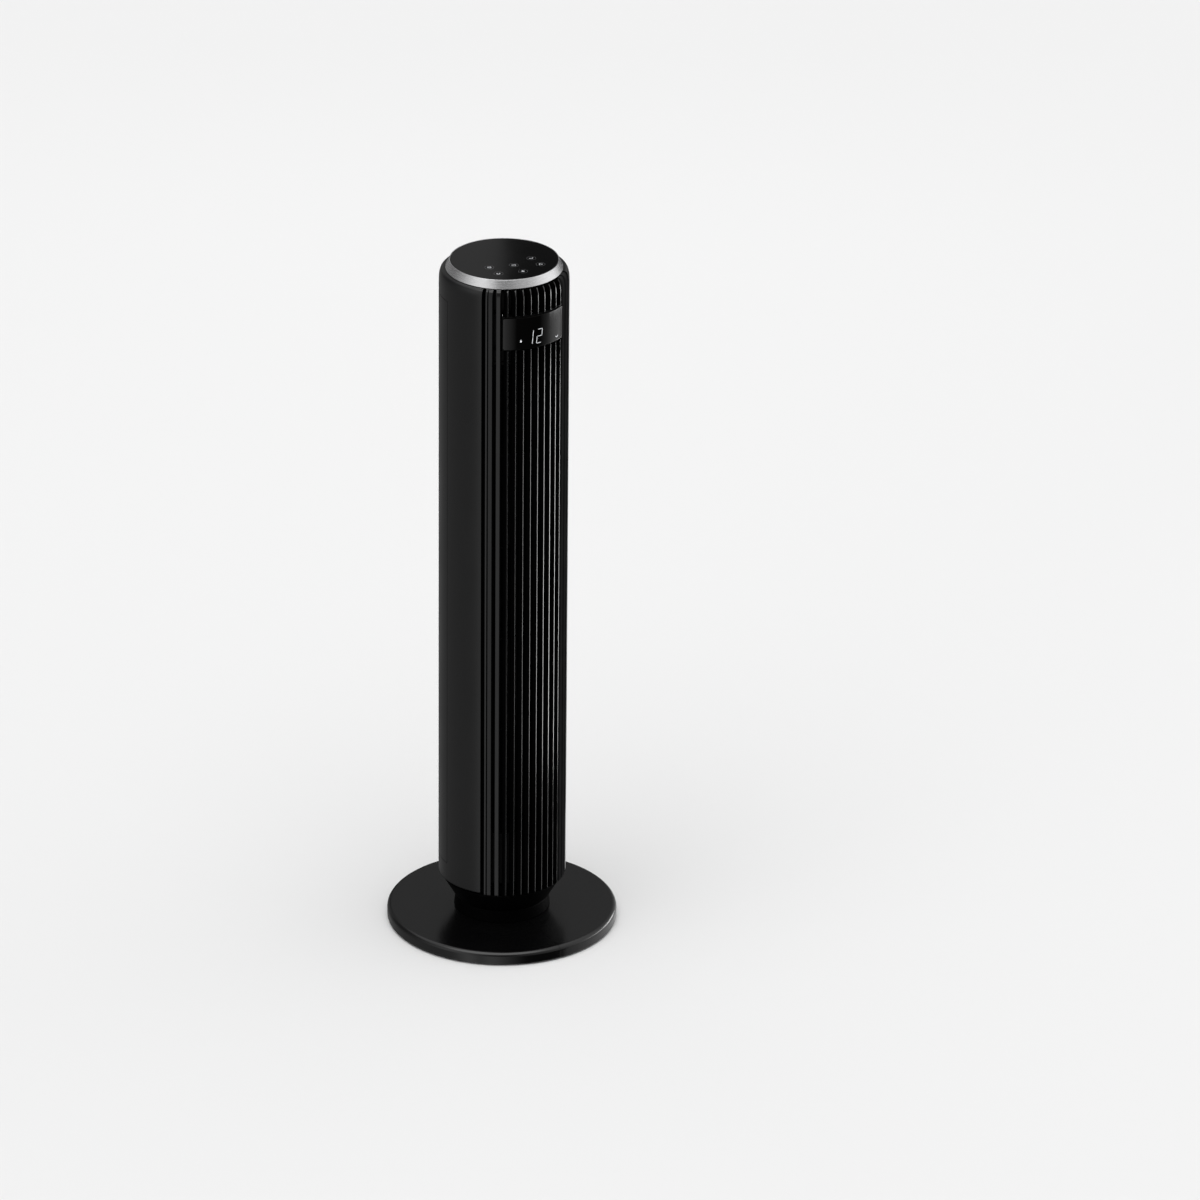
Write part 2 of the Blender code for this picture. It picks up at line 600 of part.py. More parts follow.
def rear_cover():
    """The half shell behind, with its slots, its cut-out for the handle cup and its two screws."""
    seam_deg = 0.35
    edge = COVER_EDGE_DEG + seam_deg
    shell_r = (COLUMN_R - COVER_WALL, COLUMN_R)
    made = add("rear_cover", sector(shell_r, (edge, 360 - edge), COVER_Z), "satin_black", COLUMN)
    row_height = (SLOT_Z[1] - SLOT_Z[0] - SLOT_ROW_GAP * (SLOT_ROWS - 1)) / SLOT_ROWS
    slots = []
    for row in range(SLOT_ROWS):
        low = SLOT_Z[0] + row * (row_height + SLOT_ROW_GAP)
        for column in range(SLOT_COLUMNS):
            middle = REAR + (column - (SLOT_COLUMNS - 1) / 2) * SLOT_PITCH_DEG
            degrees = (middle - SLOT_WIDTH_DEG / 2, middle + SLOT_WIDTH_DEG / 2)
            slots.append(sector(COVER_CUT_R, degrees, (low, low + row_height)))
    cut(made, together(slots))
    low_corner = (-CUP_HALF_WIDTH - CLEAR, CUP_CUT_Y[0], CUP_Z[0] - CLEAR)
    cut(made, boxed(low_corner, (CUP_HALF_WIDTH + CLEAR, CUP_CUT_Y[1], CUP_Z[1] + CLEAR)))
    head_r, head_thick, sunk = 0.0034, 0.0018, 0.0005
    for z, name in zip(COVER_SCREW_Z, ("bottom", "top")):
        place = along_y((0, 0, z))
        cut(made, rod(head_r + CLEAR, *HEAD_CUT_R), place)
        high = COLUMN_R - sunk
        seat = high - head_thick
        screw = [(0, SCREW_TIP_R), (SCREW_SHANK_R, SCREW_TIP_R), (SCREW_SHANK_R, seat)]
        screw += [(head_r, seat), (head_r, high), (0, high)]
        add(f"cover_screw_{name}", spun(screw, COARSE), "steel", COLUMN, place)


def handle_cup():
    """The pocket in the rear cover that fingers go into to carry the fan."""
    outer_r, steps = COLUMN_R - 0.0002, 8
    half_deg = math.degrees(math.asin(CUP_HALF_WIDTH / outer_r))
    outline = [(-CUP_HALF_WIDTH, CUP_FLOOR_Y), (CUP_HALF_WIDTH, CUP_FLOOR_Y)]
    for i in range(steps + 1):
        p = at(outer_r, REAR - half_deg + 2 * half_deg * i / steps)
        outline.append((p.x, p.y))
    cup = add("handle_cup", extruded(outline, *CUP_Z), "inner_plastic", COLUMN)
    low_corner = (-CUP_HALF_WIDTH + CUP_WALL, CUP_FLOOR_Y + CUP_WALL, CUP_Z[0] + CUP_WALL)
    cut(cup, boxed(low_corner, (CUP_HALF_WIDTH - CUP_WALL, OUTSIDE_R, CUP_Z[1] - CUP_WALL)))


# ---- Head ----


def head():
    """The trim ring, the glass in it, and under them the touch board on a deck with a screen in front."""
    ring_low = COLUMN_TOP + GAP
    seat = HEIGHT - PANEL_THICK - GAP
    rim_top = seat - SEAT_THICK - GAP
    ring_outline = [
        (RING_LOW_R, ring_low),
        (RING_TOP_R, HEIGHT - 0.0002),
        (PANEL_R + GAP, HEIGHT),
        (PANEL_R + GAP, seat),
        (SEAT_R, seat),
        (SEAT_R, seat - SEAT_THICK),
        (RING_TOP_R - 0.0002, seat - SEAT_THICK),
        (RING_LOW_R - RING_WALL, ring_low),
    ]
    add("trim_ring", spun(ring_outline, HEAD_FACETS), "brushed_metal", COLUMN)
    add("touch_panel", rod(PANEL_R, HEIGHT - PANEL_THICK, HEIGHT, HEAD_FACETS), "gloss_black", COLUMN)
    deck_outline = [
        (0, DECK_Z[0]),
        (DECK_R, DECK_Z[0]),
        (DECK_R, DECK_Z[1]),
        (DECK_RIM_R[1], DECK_Z[1]),
        (DECK_RIM_R[1], rim_top),
        (DECK_RIM_R[0], rim_top),
        (DECK_RIM_R[0], DECK_Z[1]),
        (0, DECK_Z[1]),
    ]
    deck = add("top_deck", spun(deck_outline, MEDIUM), "inner_plastic", COLUMN)
    join(deck, screen(HEAD_SCREEN_Z))
    tray_deg, tray_low, tray_high = TRAY_DEG + 0.4, TRAY_Z[0] - CLEAR, TRAY_Z[1] + CLEAR
    cut(deck, sector((0.060, OUTSIDE_R), (-tray_deg, tray_deg), (tray_low, tray_high), SCREEN_FACET_DEG))
    for x, y in BOARD_POSTS:
        post = rod(BOARD_POST_R, BOARD_Z[1] + GAP, DECK_Z[0] + PAST)
        join(deck, post, Matrix.Translation((x, y, 0)))
    board = rod(SEAT_R - GAP, rim_top + GAP, seat - GAP, HEAD_FACETS)
    add("touch_board", board, "circuit_board", COLUMN)


def display():
    """The lens, and behind it a tray with the board that carries the digits and the receiver."""
    lens_facet_deg, tray_facet_deg = 4.0, 8.0
    add("display_lens", sector(LENS_R, (-LENS_DEG, LENS_DEG), LENS_Z, lens_facet_deg), "gloss_black", COLUMN)
    whole = sector(TRAY_R, (-TRAY_DEG, TRAY_DEG), TRAY_Z, tray_facet_deg)
    tray = add("display_tray", whole, "inner_plastic", COLUMN)
    wall, wall_deg, back = 0.003, 2.3, 0.0013
    inside = (TRAY_Z[0] + wall, TRAY_Z[1] - wall)
    inside_deg = TRAY_DEG - wall_deg
    cut(tray, sector((TRAY_R[0] + back, OUTSIDE_R), (-inside_deg, inside_deg), inside, tray_facet_deg))
    half_board, board_y = 0.031, (-0.0688, -0.0672)
    low_z, high_z = inside[0] + PAST, inside[1] - PAST
    board = boxed((-half_board, board_y[0], low_z), (half_board, board_y[1], high_z))
    add("display_board", board, "circuit_board", COLUMN)
    face_y = board_y[0] - GAP
    half_digits, digits_deep, digits_z = 0.012, 0.0065, (low_z + 0.006, high_z - 0.008)
    digits = boxed((-half_digits, face_y - digits_deep, digits_z[0]), (half_digits, face_y, digits_z[1]))
    add("led_digits", digits, "led_face", COLUMN)
    receiver_x, receiver_deep, receiver_z = (0.0195, 0.0250), 0.0030, (low_z + 0.004, low_z + 0.011)
    low_corner = (receiver_x[0], face_y - receiver_deep, receiver_z[0])
    receiver = boxed(low_corner, (receiver_x[1], face_y, receiver_z[1]))
    add("remote_receiver", receiver, "component_grey", COLUMN)


def main_board():
    """The power and control board under the deck, with its tall components as blocks."""
    half_x, half_y = BOARD_HALF
    low, high = BOARD_Z
    slab = boxed((-half_x, -half_y, low), (half_x, half_y, high))
    board = add("main_board", slab, "circuit_board", COLUMN)
    parts = (
        ((-0.036, -0.026), (0.022, 0.020), 0.012),
        ((-0.006, -0.024), (0.018, 0.016), 0.010),
        ((0.022, 0.004), (0.014, 0.020), 0.013),
        ((-0.034, 0.008), (0.028, 0.014), 0.008),
    )
    sunk = 0.0004
    blocks = [boxed((x, y, high - sunk), (x + w, y + d, high + h)) for (x, y), (w, d), h in parts]
    join(board, together(blocks))


# ---- Air duct, impeller and motor ----


def screen(heights):
    """A wall behind the grille that keeps fingers and eyes off the works."""
    return sector(SCREEN_R, (-SCREEN_DEG, SCREEN_DEG), heights, SCREEN_FACET_DEG)


def duct_plate(name, heights, hole_r):
    """A plate across the column, cut back at the front where the grille stands further in."""
    outline = []
    steps = 30
    for i in range(steps):
        angle = -180 + 360 * (i + 0.5) / steps
        radius = DUCT_FRONT_R if abs(angle) < DUCT_FRONT_DEG else DUCT_R
        p = at(radius, angle)
        outline.append((p.x, p.y))
    plate = add(name, extruded(outline, *heights), "inner_plastic", COLUMN)
    cut(plate, rod(hole_r, heights[0] - PAST, heights[1] + PAST, MEDIUM))
    return plate


def wall_between(name, inner_points):
    """An upright wall of even thickness up the whole duct, along (radius, degrees) points."""
    inner = [at(r, degrees) for r, degrees in inner_points]
    outer = [at(r + SCROLL_WALL, degrees) for r, degrees in inner_points]
    outline = [(p.x, p.y) for p in inner + outer[::-1]]
    add(name, extruded(outline, DUCT_FLOOR[1] + GAP, DUCT_CEILING[0] - GAP), "inner_plastic", COLUMN)


def duct():
    """Two plates with the scroll and the vortex wall between them. A skirt on the floor hides the motor."""
    shaft_hole_r = 0.010
    floor = duct_plate("duct_floor", DUCT_FLOOR, shaft_hole_r)
    join(floor, screen(MOTOR_SCREEN_Z))
    duct_plate("duct_ceiling", DUCT_CEILING, CUSHION_R + CLEAR)
    steps = 10
    scroll = []
    for i in range(steps + 1):
        share = i / steps
        radius = SCROLL_R[0] + (SCROLL_R[1] - SCROLL_R[0]) * share
        scroll.append((radius, SCROLL_DEG[0] + (SCROLL_DEG[1] - SCROLL_DEG[0]) * share))
    wall_between("scroll_wall", scroll)
    tongue = [(0.0690, -50), (0.0600, -54), (0.0520, -58), (0.0480, -63), (0.0472, -70), (0.0480, -77)]
    wall_between("vortex_wall", tongue)


def blade(degrees):
    """One flat slanted blade, from the lower end disc to the upper one."""
    inner, outer = at(BLADE_R[0], degrees - BLADE_SLANT_DEG), at(BLADE_R[1], degrees)
    across = (outer - inner).normalized().cross(Vector((0, 0, 1))) * BLADE_THICK / 2
    corners = (inner - across, outer - across, outer + across, inner + across)
    low, high = IMPELLER_Z[0] + IMPELLER_DISC / 2, IMPELLER_Z[1] - IMPELLER_DISC / 2
    return extruded([(p.x, p.y) for p in corners], low, high)


def impeller():
    """The crossflow wheel, with the shafts that carry it and the motor's rotor."""
    low, high = IMPELLER_Z
    low_hub_r, top_hub_r, hub_deep = 0.009, 0.008, 0.016
    low_boss, top_boss = 0.004, 0.003
    low_bore_r, top_bore_r = SHAFT_R + GAP, STUB_R + GAP
    low_disc = [
        (low_bore_r, low - low_boss),
        (low_hub_r, low - low_boss),
        (low_hub_r, low),
        (IMPELLER_R, low),
        (IMPELLER_R, low + IMPELLER_DISC),
        (low_hub_r, low + IMPELLER_DISC),
        (low_hub_r, low + hub_deep),
        (low_bore_r, low + hub_deep),
    ]
    top_disc = [
        (top_bore_r, high - hub_deep),
        (top_hub_r, high - hub_deep),
        (top_hub_r, high - IMPELLER_DISC),
        (IMPELLER_R, high - IMPELLER_DISC),
        (IMPELLER_R, high),
        (top_hub_r, high),
        (top_hub_r, high + top_boss),
        (top_bore_r, high + top_boss),
    ]
    parts = [spun(low_disc, MEDIUM), spun(top_disc, MEDIUM)]
    step = (high - low - IMPELLER_DISC) / (IMPELLER_RINGS + 1)
    for i in range(1, IMPELLER_RINGS + 1):
        z = low + i * step
        parts.append(tube(IMPELLER_RING_R, IMPELLER_R, z, z + IMPELLER_RING_THICK))
    wheel = add("impeller", together(parts), "impeller_plastic", IMPELLER)
    join(wheel, together([blade(i * 360 / IMPELLER_BLADES) for i in range(IMPELLER_BLADES)]))
    add("motor_shaft", rod(SHAFT_R, *SHAFT_Z), "steel", IMPELLER)
    add("rotor_core", tube(SHAFT_R + GAP, ROTOR_R, *ROTOR_Z), "lamination", IMPELLER)
    add("top_stub_shaft", rod(STUB_R, high - hub_deep, BEARING_Z[1]), "steel", IMPELLER)


def motor():
    """The shaded-pole motor in its two pressed shells, the mounts above it and its capacitor."""
    low, high = MOTOR_Z
    middle = (low + high) / 2
    cup = [
        (BUSH_SEAT_R, 0),
        (MOTOR_R, 0),
        (MOTOR_R, middle - low - GAP / 2),
        (MOTOR_R - MOTOR_WALL, middle - low - GAP / 2),
        (MOTOR_R - MOTOR_WALL, MOTOR_WALL),
        (BUSH_SEAT_R + MOTOR_WALL, MOTOR_WALL),
        (BUSH_SEAT_R + MOTOR_WALL, BUSH_SEAT_DEPTH),
        (BUSH_SEAT_R, BUSH_SEAT_DEPTH),
    ]
    bush_low, bush_high = BUSH_PLAY, BUSH_SEAT_DEPTH - BUSH_PLAY
    lower, upper = [(r, low + z) for r, z in cup], [(r, high - z) for r, z in cup]
    add("motor_shell_lower", spun(lower, MEDIUM), "steel", COLUMN)
    add("motor_shell_upper", spun(upper, MEDIUM), "steel", COLUMN)
    bush = (SHAFT_R + GAP / 2, BUSH_SEAT_R - GAP)
    add("motor_bush_lower", tube(*bush, low + bush_low, low + bush_high, COARSE), "bronze", COLUMN)
    add("motor_bush_upper", tube(*bush, high - bush_high, high - bush_low, COARSE), "bronze", COLUMN)
    stator = tube(STATOR_R, MOTOR_R - MOTOR_WALL - GAP, *STATOR_Z)
    add("stator_core", stator, "lamination", COLUMN)
    under, over = STATOR_Z[0] - GAP, STATOR_Z[1] + GAP
    add("winding_lower", tube(*WINDING_R, under - WINDING_HEIGHT, under), "copper", COLUMN)
    add("winding_upper", tube(*WINDING_R, over, over + WINDING_HEIGHT), "copper", COLUMN)
    for i in range(MOUNT_COUNT):
        place = Matrix.Translation(at(MOUNT_CIRCLE_R, (i + 0.5) * 360 / MOUNT_COUNT))
        mount = rod(MOUNT_R, high + GAP, DUCT_FLOOR[0] - GAP)
        add(f"motor_mount_{i + 1}", mount, "rubber", COLUMN, place)
    capacitor_top = 0.079
    capacitor = boxed((-0.055, -0.031, CHASSIS_FLOOR[1] + GAP), (-0.025, -0.013, capacitor_top))
    add("run_capacitor", capacitor, "component_grey", COLUMN)


def top_bearing():
    low, high = BEARING_Z
    inner_r, on_ceiling = TOP_BUSH_R + GAP, DUCT_CEILING[1] + GAP
    cushion = [
        (inner_r, low),
        (CUSHION_R, low),
        (CUSHION_R, on_ceiling),
        (CUSHION_FLANGE_R, on_ceiling),
        (CUSHION_FLANGE_R, high),
        (inner_r, high),
    ]
    add("top_bearing_rubber", spun(cushion, COARSE), "rubber", COLUMN)
    bush = tube(STUB_R + GAP / 2, TOP_BUSH_R, low + BUSH_PLAY, high - BUSH_PLAY, COARSE)
    add("top_bearing_bush", bush, "bronze", COLUMN)


clear_scene()
MATERIALS = make_materials()
STAND = make_body("stand")
COLUMN = make_body("column")
IMPELLER = make_body("impeller_spin", (0, 0, IMPELLER_Z[0]))
PINION = make_body("pinion_spin", (0, DRIVE_DISTANCE, PINION_Z[0]))

base_half("base_half_left", -1)
base_half("base_half_right", 1)
foot_pads()
lock_nut()
neck()
cord_gland()
swivel_rings()
swing_gear()
pinion_and_shaft()
CHASSIS = bottom_chassis()
swing_motor()
housing()
front_grille()
rear_cover()
handle_cup()
head()
display()
main_board()
duct()
impeller()
motor()
top_bearing()
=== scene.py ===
"""The looks of the tower fan: fine surfaces, materials, floor, light and camera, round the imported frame.

Metres, +Z up. The origin is on the floor under the column's axis, and the front faces -Y. Angles round the
column are in degrees from the front, and grow towards +X.
"""

import json
import math

import bmesh
import bpy
from mathutils import Matrix, Vector

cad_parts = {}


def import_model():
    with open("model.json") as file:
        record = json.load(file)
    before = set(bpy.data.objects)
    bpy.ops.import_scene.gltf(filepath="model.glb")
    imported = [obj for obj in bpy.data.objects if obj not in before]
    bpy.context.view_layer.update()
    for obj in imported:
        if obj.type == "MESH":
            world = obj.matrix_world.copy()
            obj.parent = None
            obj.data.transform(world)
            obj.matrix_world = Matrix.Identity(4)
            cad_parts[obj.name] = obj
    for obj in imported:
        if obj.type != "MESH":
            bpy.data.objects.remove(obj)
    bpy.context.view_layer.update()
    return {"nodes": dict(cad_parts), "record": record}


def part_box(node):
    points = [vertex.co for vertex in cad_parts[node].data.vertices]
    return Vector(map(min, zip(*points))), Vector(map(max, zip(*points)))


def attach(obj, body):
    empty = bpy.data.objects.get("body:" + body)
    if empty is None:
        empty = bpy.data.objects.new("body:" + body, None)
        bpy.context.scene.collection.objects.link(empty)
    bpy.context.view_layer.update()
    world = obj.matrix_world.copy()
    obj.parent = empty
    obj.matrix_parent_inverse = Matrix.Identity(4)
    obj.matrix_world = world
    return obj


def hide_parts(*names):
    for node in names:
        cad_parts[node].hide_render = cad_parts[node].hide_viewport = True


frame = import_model()


def low(node):
    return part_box(node)[0]


def high(node):
    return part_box(node)[1]


# Sizes that the frame gives.
HEIGHT = high("touch_panel").z
BASE_R = high("base_half_right").y
BASE_BOTTOM, BASE_TOP = low("base_half_right").z, high("base_half_right").z
NECK_TOP = low("swing_gear").z - 0.0003
COLUMN_R = high("rear_cover").x
COLUMN_BOTTOM, COLUMN_TOP = low("housing").z, high("housing").z
COVER_Z = (low("rear_cover").z, high("rear_cover").z)
LENS_Z = (low("display_lens").z, high("display_lens").z)
LENS_R = -low("display_lens").y
LENS_DEG = math.degrees(math.asin(high("display_lens").x / LENS_R))
RING_Z = (low("trim_ring").z, high("trim_ring").z)
RING_R = high("trim_ring").x
PANEL_R, PANEL_BOTTOM = high("touch_panel").x, low("touch_panel").z
RIB_BOTTOM = low("front_grille").z
IMPELLER_R, IMPELLER_Z = high("impeller").x, (low("impeller").z, high("impeller").z)

# Sizes of the fine surfaces.
GAP = 0.0003
HOUSING_EDGE_DEG, COVER_EDGE_DEG = 50.5, 90.0
SHOULDER_RISE, SHOULDER_IN, SHOULDER_POWER = 0.020, 0.0073, 3.0
WALL = 0.0028
RIB_PITCH_DEG, RIBS_EACH_SIDE, INNER_RIBS_EACH_SIDE = 7.1, 6, 4
RIB_WIDTH, RIB_DEPTH = 0.0058, 0.0088
RIB_CORNER, OUTER_RIB_CORNER = 0.0021, 0.0009
EDGE_RIB_DEG, EDGE_RIB_WIDTH = 46.2, 0.0031
RIB_R = COLUMN_R - 0.0002
WINDOW_MARGIN = 0.0020
CUTTER_R = 0.095  # a cutter reaches this far out, well past the column

SMOOTH, ROUND = 192, 64  # facets round a full turn
CREASE_DEG = 38  # a sharper edge than this is shaded sharp and bevelled


# ---- Mesh helpers ----


def at(radius, degrees, z=0.0):
    """A point on a circle round the column's axis."""
    angle = math.radians(degrees)
    return Vector((radius * math.sin(angle), -radius * math.cos(angle), z))


def rounded(corners, steps=5):
    """The points of a closed outline, from (x, y, radius) corners. A radius of 0 leaves a corner sharp."""
    points = []
    for i, (x, y, radius) in enumerate(corners):
        corner = Vector((x, y))
        if not radius:
            points.append(corner)
            continue
        before = (Vector(corners[i - 1][:2]) - corner).normalized()
        after = (Vector(corners[(i + 1) % len(corners)][:2]) - corner).normalized()
        half = before.angle(after) / 2
        centre = corner + (before + after).normalized() * radius / math.sin(half)
        first = corner + before * radius / math.tan(half) - centre
        last = corner + after * radius / math.tan(half) - centre
        begin = math.atan2(first.y, first.x)
        turn = (math.atan2(last.y, last.x) - begin + math.pi) % (2 * math.pi) - math.pi
        for s in range(steps + 1):
            angle = begin + turn * s / steps
            points.append(centre + radius * Vector((math.cos(angle), math.sin(angle))))
    return points


def skinned(rows, closed=False):
    """A tube through rows of points. It's closed into a ring, or capped at both ends."""
    bm = bmesh.new()
    made = [[bm.verts.new(p) for p in row] for row in rows]
    around = made + made[:1] if closed else made
    for near, far in zip(around, around[1:]):
        for i in range(len(near)):
            j = (i + 1) % len(near)
            bm.faces.new((near[i], near[j], far[j], far[i]))
    if not closed:
        bm.faces.new(made[0])
        bm.faces.new(made[-1])
    bmesh.ops.remove_doubles(bm, verts=bm.verts, dist=1e-7)
    bmesh.ops.recalc_face_normals(bm, faces=bm.faces)
    return bm


def turned(outline, steps, start=0.0, sweep=360.0):
    """A closed outline of (radius, z) points turned round Z."""
    whole = sweep == 360.0
    turns = [start + sweep * i / steps for i in range(steps + (not whole))]
    return skinned([[at(r, degrees, z) for r, z in outline] for degrees in turns], closed=whole)


def extruded(outline, bottom, top):
    """A closed outline of (x, y) points drawn up from one height to another."""
    return skinned([[Vector((x, y, z)) for x, y in outline] for z in (bottom, top)])


def sector(radii, degrees, heights, steps):
    """A part of a ring between two radii, two angles and two heights."""
    (r0, r1), (z0, z1) = radii, heights
    return turned([(r0, z0), (r1, z0), (r1, z1), (r0, z1)], steps, degrees[0], degrees[1] - degrees[0])


def rod(radius, bottom, top):
    return turned([(0, bottom), (radius, bottom), (radius, top), (0, top)], ROUND)


def moved(bm, matrix):
    bmesh.ops.transform(bm, matrix=matrix, verts=bm.verts)
    return bm


def together(parts):
    """Several bmeshes in one."""
    whole = bmesh.new()
    for part in parts:
        mesh = bpy.data.meshes.new("part")
        part.to_mesh(mesh)
        part.free()
        whole.from_mesh(mesh)
        bpy.data.meshes.remove(mesh)
    return whole


def bevelled(obj, width, segments=2):
    modifier = obj.modifiers.new("Edges", "BEVEL")
    modifier.width = width
    modifier.segments = segments
    modifier.limit_method = "ANGLE"
    modifier.angle_limit = math.radians(CREASE_DEG)
    modifier.use_clamp_overlap = True
    modifier.harden_normals = True


def flattened(obj):
    """Lets the large faces set the shading normals, so that a flat face beside a rounded edge looks flat."""
    modifier = obj.modifiers.new("Normals", "WEIGHTED_NORMAL")
    modifier.keep_sharp = True


def creased(mesh):
    """Shades a mesh smooth but for its sharp edges."""
    mesh.shade_smooth()
    mesh.set_sharp_from_angle(angle=math.radians(CREASE_DEG))
    return mesh


def made_mesh(name, bm):
    mesh = bpy.data.meshes.new(name)
    bm.to_mesh(mesh)
    bm.free()
    return mesh


def in_scene(name, data):
    obj = bpy.data.objects.new(name, data)
    bpy.context.scene.collection.objects.link(obj)
    return obj


def piece(name, bm, material, body, nodes=(), bevel=0.0, cutters=()):
    """A piece made of a bmesh, less the cutters. It rides on a body and stands for the CAD nodes given."""
    obj = in_scene(name, creased(made_mesh(name, bm)))
    for cutter in cutters:
        obj.data = less(obj, cutter)
    obj.data.materials.clear()
    obj.data.materials.append(material)
    if bevel:
        bevelled(obj, bevel)
    flattened(obj)
    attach(obj, body)
    if nodes:
        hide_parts(*nodes)
    return obj


def less(obj, bm):
    """The mesh of an object with a shape cut out of it."""
    cutter = in_scene("cutter", creased(made_mesh("cutter", bm)))
    modifier = obj.modifiers.new("Cut", "BOOLEAN")
    modifier.operation = "DIFFERENCE"
    modifier.solver = "EXACT"
    modifier.object = cutter
    evaluated = obj.evaluated_get(bpy.context.evaluated_depsgraph_get())
    mesh = bpy.data.meshes.new_from_object(evaluated)
    obj.modifiers.remove(modifier)
    bpy.data.objects.remove(cutter, do_unlink=True)
    return creased(mesh)


# ---- Materials ----


class Nodes:
    """A new node material with its Principled shader."""

    def __init__(self, name, colour, roughness, metallic=0.0, specular=0.5):
        self.material = bpy.data.materials.new(name)
        self.material.use_nodes = True
        self.tree = self.material.node_tree
        self.shader = self.tree.nodes["Principled BSDF"]
        self.set("Base Color", (*colour, 1.0))
        self.set("Roughness", roughness)
        self.set("Metallic", metallic)
        self.set("Specular IOR Level", specular)

    def set(self, socket, value):
        self.shader.inputs[socket].default_value = value

    def add(self, kind, **sockets):
        """A new node with values for its sockets. An underscore stands for a space in a socket's name."""
        node = self.tree.nodes.new(kind)
        for name, value in sockets.items():
            node.inputs[name.replace("_", " ")].default_value = value
        return node

    def link(self, start, output, end, socket):
        self.tree.links.new(start.outputs[output], end.inputs[socket])

    def coordinates(self, scale=(1, 1, 1)):
        place = self.add("ShaderNodeMapping", Scale=scale)
        self.link(self.add("ShaderNodeTexCoord"), "Object", place, "Vector")
        return place

    def noise(self, scale, detail=3.0, stretch=(1, 1, 1)):
        noise = self.add("ShaderNodeTexNoise", Scale=scale, Detail=detail)
        self.link(self.coordinates(stretch), "Vector", noise, "Vector")
        return noise

    def spread(self, noise, socket, bottom, top):
        """Lets a noise move a socket's number between two values."""
        ramp = self.add("ShaderNodeMapRange", From_Min=0.3, From_Max=0.7, To_Min=bottom, To_Max=top)
        self.link(noise, "Fac", ramp, "Value")
        self.link(ramp, "Result", self.shader, socket)

    def tint(self, noise, dark, light):
        """Lets a noise move the colour between two."""
        ramp = self.add("ShaderNodeValToRGB")
        for element, position, colour in zip(ramp.color_ramp.elements, (0.35, 0.65), (dark, light)):
            element.position = position
            element.color = (*colour, 1.0)
        self.link(noise, "Fac", ramp, "Fac")
        self.link(ramp, "Color", self.shader, "Base Color")

    def bump(self, texture, output, strength, distance):
        bump = self.add("ShaderNodeBump", Strength=strength, Distance=distance)
        self.link(texture, output, bump, "Height")
        self.link(bump, "Normal", self.shader, "Normal")


def scaled(colour, factor):
    return tuple(min(1.0, c * factor) for c in colour)


def moulded(name, colour, roughness, specular=0.5, grain=1500, depth=0.00003, shift=0.04):
    """Moulded plastic: a fine spark-eroded grain, and a sheen that varies a little over the surface."""
    made = Nodes(name, colour, roughness, specular=specular)
    made.spread(made.noise(14.0, 4.0), "Roughness", roughness - shift, roughness + shift)
    made.tint(made.noise(30.0, 2.0), scaled(colour, 0.92), scaled(colour, 1.08))
    made.bump(made.noise(grain, 2.0), "Fac", 0.35, depth)
    return made.material


def gloss(name, colour, roughness, specular=0.5):
    """Polished black glass or acrylic: all but smooth, with a faint waviness."""
    made = Nodes(name, colour, roughness, specular=specular)
    made.spread(made.noise(9.0, 3.0), "Roughness", roughness * 0.8, roughness * 1.3)
    made.tint(made.noise(20.0, 2.0), scaled(colour, 0.9), scaled(colour, 1.1))
    made.bump(made.noise(25.0, 1.0), "Fac", 0.03, 0.0002)
    return made.material


def brushed(name, colour, roughness, across):
    """Brushed metal, with hairlines that run round the column's axis."""
    made = Nodes(name, colour, roughness, metallic=1.0)
    made.set("Anisotropic", 0.75)
    tangent = made.add("ShaderNodeTangent")
    tangent.direction_type = "RADIAL"
    tangent.axis = "Z"
    made.link(tangent, "Tangent", made.shader, "Tangent")
    lines = made.noise(across, 3.0, (0.02, 0.02, 1.0))
    made.spread(lines, "Roughness", roughness - 0.05, roughness + 0.08)
    made.tint(made.noise(across, 2.0, (0.03, 0.03, 1.0)), scaled(colour, 0.90), scaled(colour, 1.06))
    made.bump(lines, "Fac", 0.15, 0.00002)
    return made.material


def metal(name, colour, roughness, grain=400):
    """Plain metal, with a fine grain that shifts its sheen and colour."""
    made = Nodes(name, colour, roughness, metallic=1.0)
    made.spread(made.noise(grain, 3.0), "Roughness", roughness - 0.06, roughness + 0.10)
    made.tint(made.noise(60.0, 3.0), scaled(colour, 0.85), scaled(colour, 1.05))
    made.bump(made.noise(grain * 3, 2.0), "Fac", 0.10, 0.00003)
    return made.material


def banded(name, colour, roughness, scale):
    """Metal in thin layers along Z, as in stacked sheet steel or wound wire."""
    made = Nodes(name, colour, roughness, metallic=1.0)
    wave = made.add("ShaderNodeTexWave", Scale=scale, Distortion=0.4)
    wave.bands_direction = "Z"
    made.link(made.coordinates(), "Vector", wave, "Vector")
    made.bump(wave, "Fac", 0.6, 0.0002)
    made.tint(wave, scaled(colour, 0.55), scaled(colour, 1.1))
    return made.material


def solder_mask(name, colour):
    """A green board with faint copper tracks under the mask."""
    made = Nodes(name, colour, 0.35)
    tracks = made.add("ShaderNodeTexBrick", Scale=140.0, Mortar_Size=0.03)
    made.link(made.coordinates(), "Vector", tracks, "Vector")
    made.bump(tracks, "Fac", 0.3, 0.0001)
    made.tint(tracks, colour, scaled(colour, 1.7))
    made.spread(made.noise(50.0), "Roughness", 0.28, 0.42)
    return made.material


def glowing(name, colour, strength):
    """A printed or lit mark, or a light sheet, that gives off its own colour."""
    made = Nodes(name, colour, 0.4)
    made.set("Emission Color", (*colour, 1.0))
    made.set("Emission Strength", strength)
    made.spread(made.noise(300.0), "Roughness", 0.35, 0.45)
    return made.material


